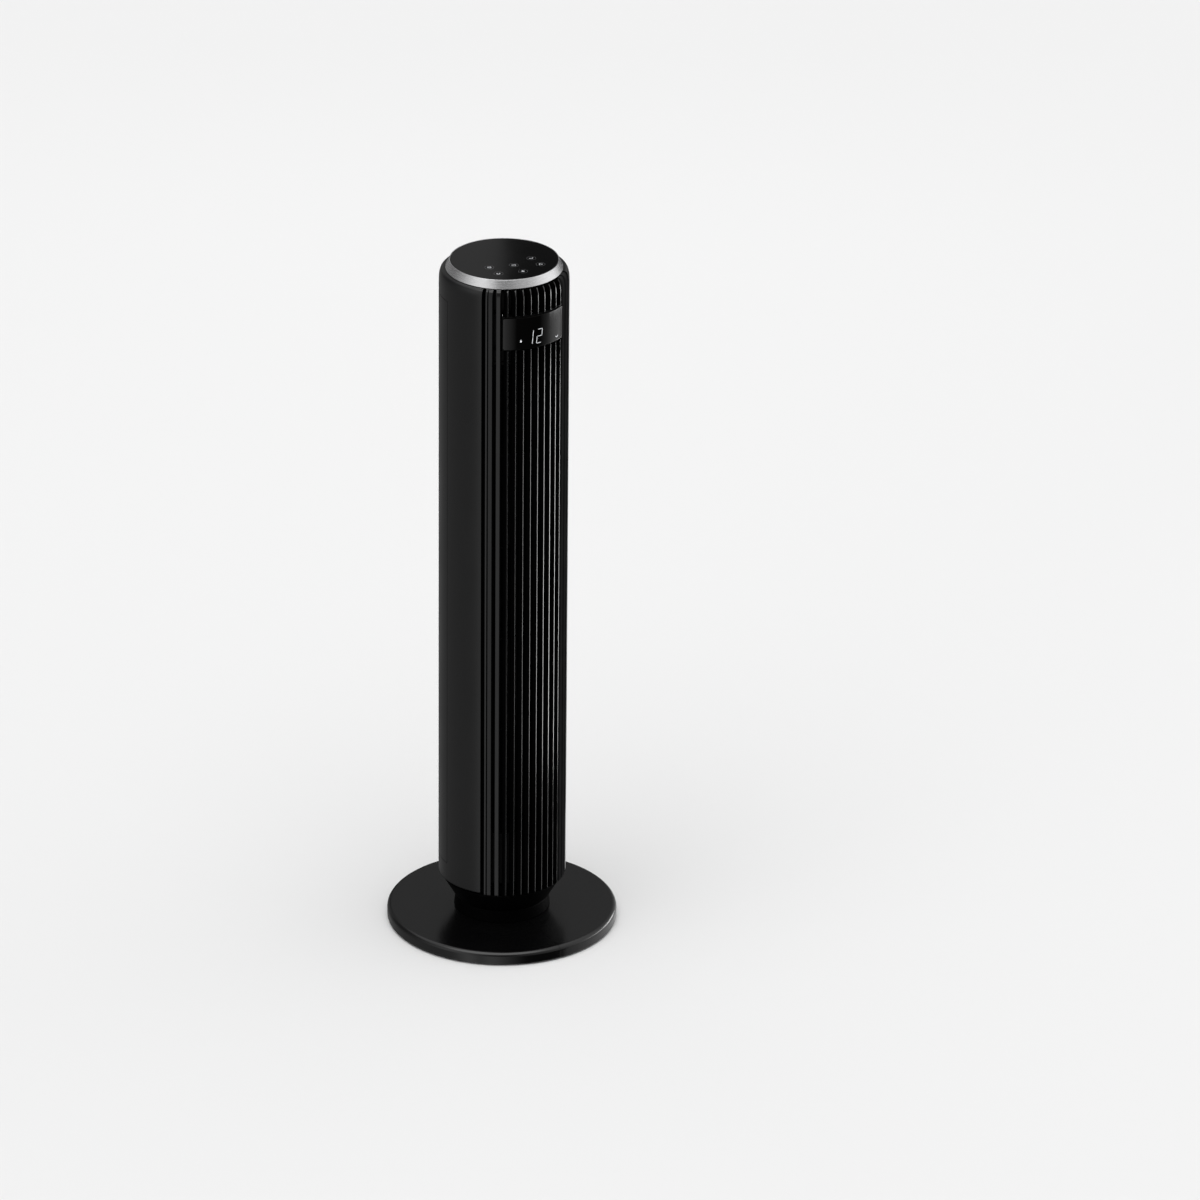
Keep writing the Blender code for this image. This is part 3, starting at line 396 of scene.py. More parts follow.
SHELL = moulded("satin_shell", (0.0030, 0.0030, 0.0032), 0.30, specular=0.45)
BASE = moulded("base_shell", (0.0016, 0.0016, 0.0017), 0.21, specular=0.5, shift=0.02)
# Painted shade: the neck and the dish under the column get a darker, all but unreflecting copy of the black
# plastic.
NECK = moulded("neck_painted_shade", (0.0010, 0.0010, 0.0011), 0.40, specular=0.02)
# In the photo only the right corners of the inner ribs catch the light, and the outer ribs catch it less.
# The ribs' faces, their corners and the outer ribs have materials of their own to give that look.
GRILLE = moulded("grille", (0.0012, 0.0012, 0.0013), 0.22, specular=0.0, grain=2200, depth=0.00002)
GRILLE_CORNER = gloss("grille_corner", (0.0015, 0.0015, 0.0016), 0.13, specular=1.0)
# The right outer ribs' lighter grey is painted sheen: a matte colour that stands in for the light they
# catch.
RIGHT_RIB_PAINTED_SHEEN = moulded("right_painted_sheen_rib", (0.022, 0.022, 0.0225), 0.40, specular=0.0, grain=2200, depth=0.000015)
LEFT_RIB = moulded("outer_rib", (0.0020, 0.0020, 0.0022), 0.20, specular=0.45, grain=2200, depth=0.000015)
GLASS = gloss("touch_glass", (0.0010, 0.0010, 0.0011), 0.10)
LENS = gloss("display_lens", (0.0010, 0.0009, 0.0009), 0.055)
RING = brushed("brushed_ring", (0.80, 0.80, 0.81), 0.22, 5200)
INNER = moulded("inner_plastic", (0.0020, 0.0020, 0.0022), 0.55, specular=0.15, grain=900)
WHEEL = moulded("impeller_plastic", (0.0030, 0.0030, 0.0034), 0.45, specular=0.15)
RUBBER = moulded("rubber", (0.012, 0.012, 0.012), 0.80, specular=0.3, grain=700, depth=0.00008)
NYLON = moulded("nylon", (0.74, 0.72, 0.66), 0.48, grain=900)
STEEL = metal("steel", (0.52, 0.52, 0.54), 0.32)
LAMINATION = banded("lamination", (0.26, 0.26, 0.28), 0.45, 320.0)
COPPER = banded("copper", (0.70, 0.33, 0.14), 0.32, 260.0)
BRONZE = metal("bronze", (0.50, 0.34, 0.17), 0.45, grain=900)
BOARD = solder_mask("circuit_board", (0.012, 0.11, 0.045))
LED_FACE = moulded("led_face", (0.70, 0.71, 0.73), 0.40, grain=500)
GREY_CASE = moulded("component_grey", (0.12, 0.13, 0.15), 0.48)
PRINT = glowing("icon_print", (0.62, 0.63, 0.65), 0.10)
FAINT = glowing("icon_ring", (0.10, 0.10, 0.105), 0.0)
LIT = glowing("lit_segment", (0.95, 0.97, 1.0), 0.46)


# ---- Column ----


def shoulder(offset, steps):
    """(radius, z) points up the shoulder, from the straight wall to the trim ring, moved in by offset."""
    points = []
    for i in range(steps + 1):
        turn = math.radians(90 * i / steps)
        across = math.cos(turn) ** (2 / SHOULDER_POWER) if i < steps else 0.0
        up = math.sin(turn) ** (2 / SHOULDER_POWER)
        r = COLUMN_R - SHOULDER_IN - offset + SHOULDER_IN * across
        points.append((r, COLUMN_TOP - SHOULDER_RISE - offset + SHOULDER_RISE * up))
    return points


def housing():
    """The side panels, the bottom collar and the shoulder in one shell, open at the front and the rear."""
    inner_r, outer_round, inner_round = COLUMN_R - WALL, 0.0022, 0.0006
    up_the_wall = (COLUMN_R, 0.1, 0)  # it only steers the rounding of the two corners before it
    rim = [(inner_r, COLUMN_BOTTOM, inner_round), (COLUMN_R, COLUMN_BOTTOM, outer_round), up_the_wall]
    outline = [tuple(p) for p in rounded(rim)[:-1]]
    outline += shoulder(0, 20)
    outline.append((COLUMN_R - SHOULDER_IN - WALL, COLUMN_TOP))
    outline += shoulder(WALL, 12)[::-1]
    sweep = 360 - 2 * HOUSING_EDGE_DEG
    shell = turned(outline, 140, HOUSING_EDGE_DEG, sweep)
    opening = (COVER_EDGE_DEG, 360 - COVER_EDGE_DEG)
    heights = (COVER_Z[0] - 2 * GAP, COVER_Z[1] + 2 * GAP)
    hole = sector((0.070, CUTTER_R), opening, heights, 24)
    piece("housing_shell", shell, SHELL, "column", ["housing"], 0.0007, [hole])


def rib(degrees, width, corner_r):
    """One rib, with rounded corners on its nose and a bend in over the shoulder."""
    half = width / 2
    corner = min(corner_r, half * 0.7)
    # In this outline y is the way in from the nose, and 1 stands for the rib's root.
    outline = rounded([(-half, 0, corner), (half, 0, corner), (half, 1, 0), (-half, 1, 0)], 8)
    bottom_round, bottom_steps, least_depth = 0.0032, 5, 0.0048
    levels = []
    for i in range(bottom_steps + 1):
        turn = math.radians(90 * i / bottom_steps)
        inward, rise = 1 - math.sin(turn), 1 - math.cos(turn)
        levels.append((RIB_R - bottom_round * inward, RIB_BOTTOM + bottom_round * rise))
    levels += [(r - COLUMN_R + RIB_R, z) for r, z in shoulder(0, 16)]
    across = at(1.0, degrees + 90)
    rows = []
    for r, z in levels:
        depth = RIB_DEPTH - (RIB_R - r)
        if z > COLUMN_TOP - SHOULDER_RISE:
            depth = max(depth, least_depth)
        row = []
        for x, y in outline:
            inward = y if y < 0.5 else depth
            row.append(at(r - inward, degrees, z) + across * x)
        rows.append(row)
    return skinned(rows)


def gloss_corners(mesh):
    """Gives the rounded right corners of the inner ribs the second, glossier material."""
    for polygon in mesh.polygons:
        middle, normal = polygon.center, polygon.normal
        place = math.degrees(math.atan2(middle.x, -middle.y))
        facing = math.degrees(math.atan2(normal.x, -normal.y))
        rib_deg = round(place / RIB_PITCH_DEG) * RIB_PITCH_DEG
        to_the_right = 3 < facing - rib_deg < 80
        upright = abs(normal.z) < 0.9
        polygon.material_index = int(to_the_right and upright)


def front_grille():
    """The ribs, with the display's window cut out, on a frame of thin bars and two side rails."""
    lens_low, lens_high = LENS_Z[0] - WINDOW_MARGIN, LENS_Z[1] + WINDOW_MARGIN
    window_deg = LENS_DEG + 1.1

    def ribs(name, parts, material, nodes=()):
        window = sector((0.0705, CUTTER_R), (-window_deg, window_deg), (lens_low, lens_high), 30)
        return piece(name, together(parts), material, "column", nodes, cutters=[window])

    inner, left, right = [], [], []
    for i in range(-RIBS_EACH_SIDE, RIBS_EACH_SIDE + 1):
        outer = left if i < 0 else right
        group, corner = (inner, RIB_CORNER) if abs(i) <= INNER_RIBS_EACH_SIDE else (outer, OUTER_RIB_CORNER)
        group.append(rib(i * RIB_PITCH_DEG, RIB_WIDTH, corner))
    left.append(rib(-EDGE_RIB_DEG, EDGE_RIB_WIDTH, OUTER_RIB_CORNER))
    right.append(rib(EDGE_RIB_DEG, EDGE_RIB_WIDTH, OUTER_RIB_CORNER))
    grille = ribs("grille_ribs", inner, GRILLE, ["front_grille"])
    grille.data.materials.append(GRILLE_CORNER)
    gloss_corners(grille.data)
    ribs("grille_left_ribs", left, LEFT_RIB)
    # Painted sheen: these ribs take the lighter grey that stands in for caught light.
    ribs("grille_right_ribs", right, RIGHT_RIB_PAINTED_SHEEN)

    bar_r, bar_deg, bar_half = (0.0715, 0.0745), 47, 0.0012
    rail_r, rail_deg, rail_z = (0.0722, 0.0752), (44.8, 54.5), (0.0745, 0.900)
    clip_r, clip_deg, clip_z = (0.0745, 0.0790), (52.0, 54.5), (0.080, 0.880)
    bars = [0.0670, 0.447, lens_low - 0.0014, lens_high + 0.0014, COLUMN_TOP - 0.0022]
    parts = [sector(bar_r, (-bar_deg, bar_deg), (z - bar_half, z + bar_half), 60) for z in bars]
    for side in (-1, 1):
        parts.append(sector(rail_r, sorted(side * turn for turn in rail_deg), rail_z, 8))
        parts.append(sector(clip_r, sorted(side * turn for turn in clip_deg), clip_z, 4))
    piece("grille_frame", together(parts), GRILLE, "column", bevel=0.0003)


def slot_cell(bm, middle, pitch, width, bottom, top, margin):
    """A rectangle of the rear cover with one round-ended slot through it, wrapped on the column."""
    steps = 8
    radius = width / 2
    half_span = math.radians(pitch) * COLUMN_R / 2
    slot, cell = [], []
    edge = radius + margin
    for end, first in ((top - radius, 0), (bottom + radius, 180)):
        for i in range(steps + 1):
            turn = math.radians(first + 180 * i / steps)
            c, s = math.cos(turn), math.sin(turn)
            slot.append((radius * c, end + radius * s))
            reach = max(abs(c), abs(s))
            cell.append((half_span * c / reach, end + edge * s / reach))

    def wrapped(points):
        return [bm.verts.new(at(COLUMN_R, middle + math.degrees(x / COLUMN_R), z)) for x, z in points]

    near, far = wrapped(slot), wrapped(cell)
    for i in range(len(near)):
        j = (i + 1) % len(near)
        bm.faces.new((near[i], near[j], far[j], far[i]))


def rear_cover():
    """The rear shell, with the same rows of intake slots as the CAD cover but with round ends."""
    columns, rows, pitch, width = 13, 3, 6.0, 0.0038
    bottom, top, between = 0.112, 0.812, 0.009
    row_height = (top - bottom - between * (rows - 1)) / rows
    bm = bmesh.new()
    for row in range(rows):
        z = bottom + row * (row_height + between)
        for column in range(columns):
            middle = 180 + (column - (columns - 1) / 2) * pitch
            slot_cell(bm, middle, pitch, width, z, z + row_height, between / 2)
    half = columns * pitch / 2
    edge = COVER_EDGE_DEG + 0.45
    low_z, high_z = bottom - between / 2, top + between / 2
    cup_low, cup_high = low("handle_cup").z - GAP, high("handle_cup").z + GAP
    cup_half = math.degrees(math.asin((high("handle_cup").x + GAP) / COLUMN_R))

    def patch(a0, a1, z0, z1):
        """A plain stretch of the shell, between two angles and two heights."""
        steps = max(1, round((a1 - a0) / 1.5))
        places = [a0 + (a1 - a0) * i / steps for i in range(steps + 1)]
        edges = [[bm.verts.new(at(COLUMN_R, place, z)) for z in (z0, z1)] for place in places]
        for (a, b), (c, d) in zip(edges, edges[1:]):
            bm.faces.new((a, b, d, c))

    levels = [COVER_Z[0], low_z, high_z, cup_low, cup_high, COVER_Z[1]]
    turns = [edge, 180 - half, 180 - cup_half, 180 + cup_half, 180 + half, 360 - edge]
    for z0, z1 in zip(levels, levels[1:]):
        for a0, a1 in zip(turns, turns[1:]):
            in_slots = z0 == low_z and abs((a0 + a1) / 2 - 180) < half
            in_cup = z0 == cup_low and a0 == 180 - cup_half
            if not in_slots and not in_cup:
                patch(a0, a1, z0, z1)
    bmesh.ops.remove_doubles(bm, verts=bm.verts, dist=2e-5)
    bmesh.ops.recalc_face_normals(bm, faces=bm.faces)
    cover = piece("rear_shell", bm, SHELL, "column", ["rear_cover"])
    solid = cover.modifiers.new("Wall", "SOLIDIFY")
    solid.thickness = 0.0026
    solid.offset = -1.0
    solid.use_even_offset = True
    bevelled(cover, 0.0005)
    flattened(cover)


def trim_ring():
    """The sloped metal ring, with the ledge that the glass sits on."""
    foot, top = RING_Z
    seat, ledge = PANEL_BOTTOM - GAP, 0.002
    top_r, bore_r, ledge_r = 0.0691, PANEL_R + 0.00035, 0.0655
    under_r, foot_r = 0.0686, 0.0716
    corners = [
        (RING_R, foot, 0.0005),
        (top_r, top, 0.0004),
        (bore_r, top, 0.0003),
        (bore_r, seat, 0),
        (ledge_r, seat, 0),
        (ledge_r, seat - ledge, 0),
        (under_r, seat - ledge, 0),
        (foot_r, foot, 0.0003),
    ]
    piece("metal_ring", turned(rounded(corners, 4), SMOOTH), RING, "column", ["trim_ring"])


def touch_panel():
    corners = [(0, PANEL_BOTTOM, 0), (PANEL_R, PANEL_BOTTOM, 0), (PANEL_R, HEIGHT, 0.0005), (0, HEIGHT, 0)]
    disc = turned(rounded(corners, 4), SMOOTH)
    piece("glass_disc", disc, GLASS, "column", ["touch_panel"])


def neck():
    """The collar round the swing drive, with the post that the column turns on and the way for the lead."""
    box_low, box_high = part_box("neck")
    wide, draft, wall, plate = box_high.x, 0.002, 0.0026, 0.003
    start, post_r, bore_r, boss_r, seat_r, rim_r = BASE_TOP + GAP, 0.015, 0.011, 0.022, 0.030, 0.026
    outline = rounded([
        (wide, start, 0.0005),
        (wide - draft, NECK_TOP, 0.0014),
        (post_r, NECK_TOP, 0.0004),
        (post_r, box_high.z, 0.0006),
        (bore_r, box_high.z, 0),
        (bore_r, box_low.z, 0),
        (boss_r, box_low.z, 0.0006),
        (boss_r, start, 0),
        (seat_r, start, 0),
        (seat_r, start + plate, 0.0005),
        (rim_r, start + plate, 0),
        (rim_r, NECK_TOP - plate, 0),
        (wide - draft - wall, NECK_TOP - plate, 0),
        (wide - wall, start, 0),
    ])
    gland_low, gland_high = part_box("cord_gland")
    lead_r, lead_z = 0.0061, (gland_low.z + gland_high.z) / 2
    to_rear = Matrix.Translation((0, 0, lead_z)) @ Matrix.Rotation(math.radians(-90), 4, "X")
    way = moved(rod(lead_r, bore_r / 2, wide + 0.001), to_rear)
    # Painted shade: the collar takes the darker neck material.
    piece("neck_collar", turned(outline, SMOOTH), NECK, "stand", ["neck"], cutters=[way])


def bottom_chassis():
    """The dish under the column, with its floor, hub and flange, and the holes of the swing drive."""
    box_low, box_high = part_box("bottom_chassis")
    low_r, top_r, wall, rim_z = 0.0615, box_high.x, 0.0035, 0.0643
    slope = (top_r - low_r) / (rim_z - box_low.z)
    flange_r, flange_bore_r, shelf_z = 0.0708, 0.0683, 0.0613
    floor_low, floor_high, hub_r, hub_bore_r = 0.045, 0.049, 0.020, 0.0153
    hub_low, hub_high = 0.0371, 0.060
    shaft_hole_r, screw_hole_r, past = 0.006, 0.0018, 0.001

    def inside(z):
        return low_r + slope * (z - box_low.z) - wall

    outline = rounded([
        (low_r, box_low.z, 0.0008),
        (top_r, rim_z, 0.0016),
        (flange_r, rim_z, 0),
        (flange_r, box_high.z, 0.0004),
        (flange_bore_r, box_high.z, 0),
        (flange_bore_r, shelf_z, 0),
        (inside(shelf_z), shelf_z, 0),
        (inside(floor_high), floor_high, 0),
        (hub_r, floor_high, 0.0008),
        (hub_r, hub_high, 0.0005),
        (hub_bore_r, hub_high, 0),
        (hub_bore_r, hub_low, 0),
        (hub_r, hub_low, 0.0004),
        (hub_r, floor_low, 0),
        (inside(floor_low), floor_low, 0),
        (inside(box_low.z), box_low.z, 0.0005),
    ])

    def hole(radius, x, y):
        return moved(rod(radius, floor_low - past, floor_high + past), Matrix.Translation((x, y, 0)))

    pinion_low, pinion_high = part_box("swing_pinion")
    holes = [hole(shaft_hole_r, 0, (pinion_low.y + pinion_high.y) / 2)]
    for side in ("left", "right"):
        screw_low, screw_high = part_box(f"swing_motor_screw_{side}")
        place = (screw_low + screw_high) / 2
        holes.append(hole(screw_hole_r, place.x, place.y))
    # Painted shade: the dish takes the darker neck material too.
    piece("dish", turned(outline, SMOOTH), NECK, "column", ["bottom_chassis"], cutters=holes)


def base():
    """The two halves of the disc, with a pocket underneath for the hand nut."""
    bore_r, pocket_r, pocket_top = 0.0224, 0.044, 0.013
    corners = [
        (bore_r, BASE_TOP, 0.0004),
        (bore_r, pocket_top, 0),
        (pocket_r, pocket_top, 0),
        (pocket_r, BASE_BOTTOM, 0.0005),
        (BASE_R, BASE_BOTTOM, 0.0015),
        (BASE_R, BASE_TOP, 0.006),
    ]
    outline = rounded(corners, 10)
    for side, start, name in ((1, 0.0, "right"), (-1, 180.0, "left")):
        half = turned(outline, 120, start, 180.0)
        bmesh.ops.translate(half, verts=half.verts, vec=(side * GAP / 2, 0, 0))
        piece(f"base_{name}", half, BASE, "stand", [f"base_half_{name}"], 0.0003)


def display_lens():
    """The curved window, with rounded corners and a softened front edge."""
    corner, thick, inset = 0.0030, 0.0020, 0.0004
    corner_steps, straight_steps = 8, 56
    half_width = math.radians(LENS_DEG) * LENS_R
    half_height = (LENS_Z[1] - LENS_Z[0]) / 2
    middle = sum(LENS_Z) / 2

    def columns(shrink):
        """(x, half height) along the window, from left to right, with its outline moved in by shrink."""
        w, h, c = half_width - shrink, half_height - shrink, corner - shrink
        rise = []
        for i in range(corner_steps + 1):
            turn = math.radians(90 * i / corner_steps)
            rise.append((-w + c * (1 - math.cos(turn)), h - c * (1 - math.sin(turn))))
        straight = [(-w + c + (2 * w - 2 * c) * i / straight_steps, h) for i in range(1, straight_steps)]
        return rise + straight + [(-x, y) for x, y in rise[::-1]]

    bm = bmesh.new()
    layers = [(LENS_R, inset), (LENS_R - inset * 0.3, inset * 0.3), (LENS_R - inset, 0), (LENS_R - thick, 0)]
    sheets = []
    for r, shrink in layers:
        pairs = []
        for x, y in columns(shrink):
            degrees = math.degrees(x / LENS_R)
            pairs.append([bm.verts.new(at(r, degrees, middle + sign * y)) for sign in (-1, 1)])
        sheets.append(pairs)
    for face_sheet in (sheets[0], sheets[-1]):
        for (a, b), (c, d) in zip(face_sheet, face_sheet[1:]):
            bm.faces.new((a, b, d, c))
    for near, far in zip(sheets, sheets[1:]):
        for k in (0, 1):
            for i in range(len(near) - 1):
                bm.faces.new((near[i][k], near[i + 1][k], far[i + 1][k], far[i][k]))
        for end in (0, -1):
            bm.faces.new((near[end][0], near[end][1], far[end][1], far[end][0]))
    bmesh.ops.recalc_face_normals(bm, faces=bm.faces)
    piece("lens_window", bm, LENS, "column", ["display_lens"])


# ---- Icons and digits ----


def ink_on_lens(name, outlines, material, lift=0.00006, thick=0.00005):
    """Thin shapes on the window. Their (x, z) points are along its surface, from its middle."""
    middle = sum(LENS_Z) / 2
    parts = []
    for outline in outlines:
        rows = []
        for r in (LENS_R + lift, LENS_R + lift - thick):
            rows.append([at(r, math.degrees(x / LENS_R), middle + z) for x, z in outline])
        parts.append(skinned(rows))
    return piece(name, together(parts), material, "column")


def segment(x, z, length, upright, width=0.00062, slant=0.10):
    """One bar of a seven-segment digit, with pointed ends."""
    half, tip, reach = width / 2, width * 0.45, length / 2
    points = [(-reach, 0), (-reach + tip, half), (reach - tip, half)]
    points += [(reach, 0), (reach - tip, -half), (-reach + tip, -half)]
    if upright:
        points = [(-b, a) for a, b in points]
    return [(x + a + slant * (z + b), z + b) for a, b in points]


def arc_band(x, y, radius, width, start, end, steps=28):
    """An arc of even width as a closed outline."""
    turns = [math.radians(start + (end - start) * i / steps) for i in range(steps + 1)]

    def arc(r):
        return [(x + r * math.cos(turn), y + r * math.sin(turn)) for turn in turns]

    return arc(radius + width / 2) + arc(radius - width / 2)[::-1]


def bar(x0, y0, x1, y1, width):
    """A straight line of even width as a closed outline."""
    along = Vector((x1 - x0, y1 - y0)).normalized() * width / 2
    side = Vector((-along.y, along.x))
    corners = ((x0, y0, -1), (x1, y1, -1), (x1, y1, 1), (x0, y0, 1))
    return [(x + sign * side.x, y + sign * side.y) for x, y, sign in corners]


def digits():
    """A lit 12: two upright bars, then the five bars of a 2."""
    tall, wide, gap = 0.0087, 0.0062, 0.0005
    z_mid = -0.0067
    one_x, two_x = -0.0060, 0.0035
    half, lift = wide / 2 + 0.0004, tall / 2 + gap / 2
    bars = [segment(one_x, z_mid + side * lift, tall, True) for side in (1, -1)]
    bars += [segment(two_x, z_mid + side * (tall + gap), wide, False) for side in (1, 0, -1)]
    bars += [segment(two_x + side * half, z_mid + side * lift, tall, True) for side in (1, -1)]
    ink_on_lens("lit_digits", bars, LIT)


def lens_icons():
    """A small drop on the left and a crescent on the right."""
    steps = 16
    x, z, r = -0.0226, -0.0106, 0.0011
    drop = []
    for i in range(steps + 1):
        turn = math.radians(-210 + 240 * i / steps)
        drop.append((x + r * math.cos(turn), z + r * math.sin(turn)))
    drop.append((x, z + 2.3 * r))
    crescent = arc_band(0.0324, -0.0146, 0.0020, 0.0007, -175, -5, steps)
    ink_on_lens("lit_icons", [drop, crescent], LIT)


def glass_icons():
    """Six generic touch marks, each in a faint circle: timer, power, swing, night, speed and mode."""
    w = 0.0006
    places = {
        "timer": (-0.0305, -0.0150),
        "power": (0.0, -0.0236),
        "swing": (0.0305, -0.0150),
        "night": (-0.0305, -0.0376),
        "speed": (0.0, -0.0464),
        "mode": (0.0305, -0.0376),
    }

    def marks(kind, x, y):
        if kind == "timer":
            hands = [bar(x, y, x, y + 0.0015, w), bar(x, y, x + 0.0011, y, w)]
            return [arc_band(x, y, 0.0022, w, 0, 360), *hands]
        if kind == "power":
            return [arc_band(x, y, 0.0024, w, -235, 55), bar(x, y + 0.0006, x, y + 0.0030, w)]
        if kind == "swing":
            head = [(x + 0.0030, y + 0.0002), (x + 0.0013, y + 0.0012), (x + 0.0013, y - 0.0009)]
            tail = [(x - 0.0030, y + 0.0002), (x - 0.0013, y - 0.0009), (x - 0.0013, y + 0.0012)]
            return [arc_band(x, y + 0.0004, 0.0020, w, 200, 340), head, tail]
        if kind == "night":
            return [arc_band(x, y, 0.0019, 0.0010, 120, 380)]
        if kind == "speed":
            return [[(x, y + 0.0026), (x - 0.0022, y + 0.0004), (x + 0.0022, y + 0.0004)],
                    [(x, y - 0.0026), (x + 0.0022, y - 0.0004), (x - 0.0022, y - 0.0004)]]
        blades = []
        for i in range(3):
            turn = 120 * i + 90
            c, s = math.cos(math.radians(turn)), math.sin(math.radians(turn))
            centre = (x + 0.0013 * c, y + 0.0013 * s)
            blades.append(arc_band(*centre, 0.0008, 0.0009, turn - 100, turn + 80, 12))
        return blades

    sunk, proud = 0.00002, 0.00004
    circle = [(0.0056, -sunk), (0.0059, -sunk), (0.0059, 0.00003), (0.0056, 0.00003)]
    strokes, circles = [], []
    for kind, (x, y) in places.items():
        strokes += [extruded(outline, HEIGHT - sunk, HEIGHT + proud) for outline in marks(kind, x, y)]
        circles.append(moved(turned(circle, 48), Matrix.Translation((x, y, HEIGHT))))
    piece("touch_marks", together(strokes), PRINT, "column")
    piece("touch_circles", together(circles), FAINT, "column")


# ---- Impeller ----


def hub(bore_r, boss_r, low_z, disc_low, disc_high, high_z):
    """An end disc of the wheel, with a boss round the shaft."""
    outline = [(bore_r, low_z), (boss_r, low_z), (boss_r, disc_low), (IMPELLER_R, disc_low)]
    outline += [(IMPELLER_R, disc_high), (boss_r, disc_high), (boss_r, high_z), (bore_r, high_z)]
    return turned(outline, ROUND)


def blade(degrees, bottom, top):
    """A thin curved blade near the wheel's edge, which leans on as it goes out."""
    start_r, depth, lean_deg, thick, steps = 0.0345, 0.0088, 13.0, 0.0007, 5
    outer, inner = [], []
    for i in range(steps + 1):
        share = i / steps
        r = start_r + depth * share
        lean = degrees + lean_deg * share * share
        outer.append(at(r, lean - math.degrees(thick / 2 / r)))
        inner.append(at(r, lean + math.degrees(thick / 2 / r)))
    return extruded([(p.x, p.y) for p in outer + inner[::-1]], bottom, top)


def impeller():
    """The crossflow wheel: stages of blades between thin rings, with every other stage half a pitch on."""
    below, above, boss = 0.004, 0.003, 0.016
    bottom, top = IMPELLER_Z[0] + below, IMPELLER_Z[1] - above
    stages, blades, disc = 5, 30, 0.0025
    parts = [hub(0.0043, 0.009, bottom - below, bottom, bottom + disc, bottom + boss)]
    parts.append(hub(0.0033, 0.008, top - boss, top - disc, top, top + above))
    stage = (top - bottom - disc) / stages
    ring_r, half, edge = 0.0335, 0.0008, 0.0004
    for i in range(1, stages):
        z = bottom + disc / 2 + i * stage
        corners = [(ring_r, z - half, 0), (IMPELLER_R, z - half, edge)]
        corners += [(IMPELLER_R, z + half, edge), (ring_r, z + half, 0)]
        parts.append(turned(rounded(corners, 2), ROUND))
    for i in range(stages):
        z = bottom + disc / 2 + i * stage
        parts += [blade((b + 0.5 * (i % 2)) * 360 / blades, z, z + stage) for b in range(blades)]
    piece("crossflow_wheel", together(parts), WHEEL, "impeller_wheel", ["impeller"])


# ---- CAD nodes that keep their shape ----


FINISH = {
    "satin_shell": SHELL,
    "grille": GRILLE,
    "touch_glass": GLASS,
    "display_lens": LENS,
    "brushed_ring": RING,
    "inner_plastic": INNER,
    "impeller_plastic": WHEEL,
    "rubber": RUBBER,
    "nylon": NYLON,
    "steel": STEEL,
    "lamination": LAMINATION,
    "copper": COPPER,
    "bronze": BRONZE,
    "circuit_board": BOARD,
    "led_face": LED_FACE,
    "component_grey": GREY_CASE,
}


def finish_nodes():
    """Gives every carried-over CAD node the material of its slot."""
    slots = {s["node"]: s["material_slot"] for s in frame["record"]["subparts"]}
    for name, obj in frame["nodes"].items():
        obj.data.materials.clear()
        obj.data.materials.append(FINISH[slots[name]])


# ---- Floor, light and camera ----


def staged(name, bm, material, hidden_from):
    """An object of the stage, hidden from some kinds of ray."""
    mesh = made_mesh(name, bm)
    mesh.materials.append(material)
    obj = in_scene(name, mesh)
    for ray in hidden_from:
        setattr(obj, ray, False)


def floor():
    """A wide pale floor, which doesn't light the fan or show in it."""
    bm = bmesh.new()
    bmesh.ops.create_grid(bm, x_segments=1, y_segments=1, size=40.0)
    made = Nodes("floor", (0.80, 0.80, 0.80), 0.85, specular=0.2)
    made.tint(made.noise(0.5), (0.80, 0.80, 0.80), (0.802, 0.802, 0.802))
    staged("floor", bm, made.material, ("visible_glossy", "visible_diffuse", "visible_shadow"))


def panel(name, place, aim, width, height, power):
    """A soft box: an area light that faces a point, and isn't seen itself."""
    light = bpy.data.lights.new(name, "AREA")
    light.shape = "RECTANGLE"
    light.size, light.size_y = width, height
    light.energy = power
    obj = in_scene(name, light)
    obj.location = place
    obj.rotation_mode = "QUATERNION"
    obj.rotation_quaternion = (Vector(aim) - Vector(place)).to_track_quat("-Z", "Y")
    obj.visible_camera = False


def ramp_of(tree, stops):
    """A grey ramp from (degrees, brightness) stops, over the azimuth as a share of a full turn from -180."""
    ramp = tree.nodes.new("ShaderNodeValToRGB")
    elements = ramp.color_ramp.elements
    while len(elements) < len(stops):
        elements.new(0.5)
    for element, (degrees, _) in zip(elements, stops):
        element.position = (degrees + 180) / 360
    for element, (_, value) in zip(elements, stops):
        element.color = (value, value, value, 1)
    return ramp


# Brightness round the studio, by azimuth: low down, at the height of the soft boxes, and overhead.
LOW_ROUND = (
    (-180, 0.20), (-150, 0.22), (-120, 0.30), (-80, 0.36), (-66, 0.95), (-59, 0.95), (-54, 0.50),
    (-49, 0.60), (-42, 0.90), (-37, 0.80), (-24, 0.40), (-8, 0.03), (35, 0.02), (50, 0.25), (65, 0.80),
    (82, 1.00), (90, 0.55), (100, 0.20), (116, 0.10), (131, 0.05), (150, 0.04), (180, 0.25),
)
BOX_ROUND = (
    (-180, 0.25), (-160, 0.12), (-140, 0.15), (-120, 0.32), (-100, 0.65), (-85, 0.95), (-65, 0.90),
    (-42, 0.25), (-30, 0.14), (-5, 0.38), (25, 0.48), (43, 0.80), (65, 1.05), (88, 1.00), (105, 0.60),
    (125, 0.45), (142, 0.03), (165, 0.03), (180, 0.25),
)
OVERHEAD = 0.97


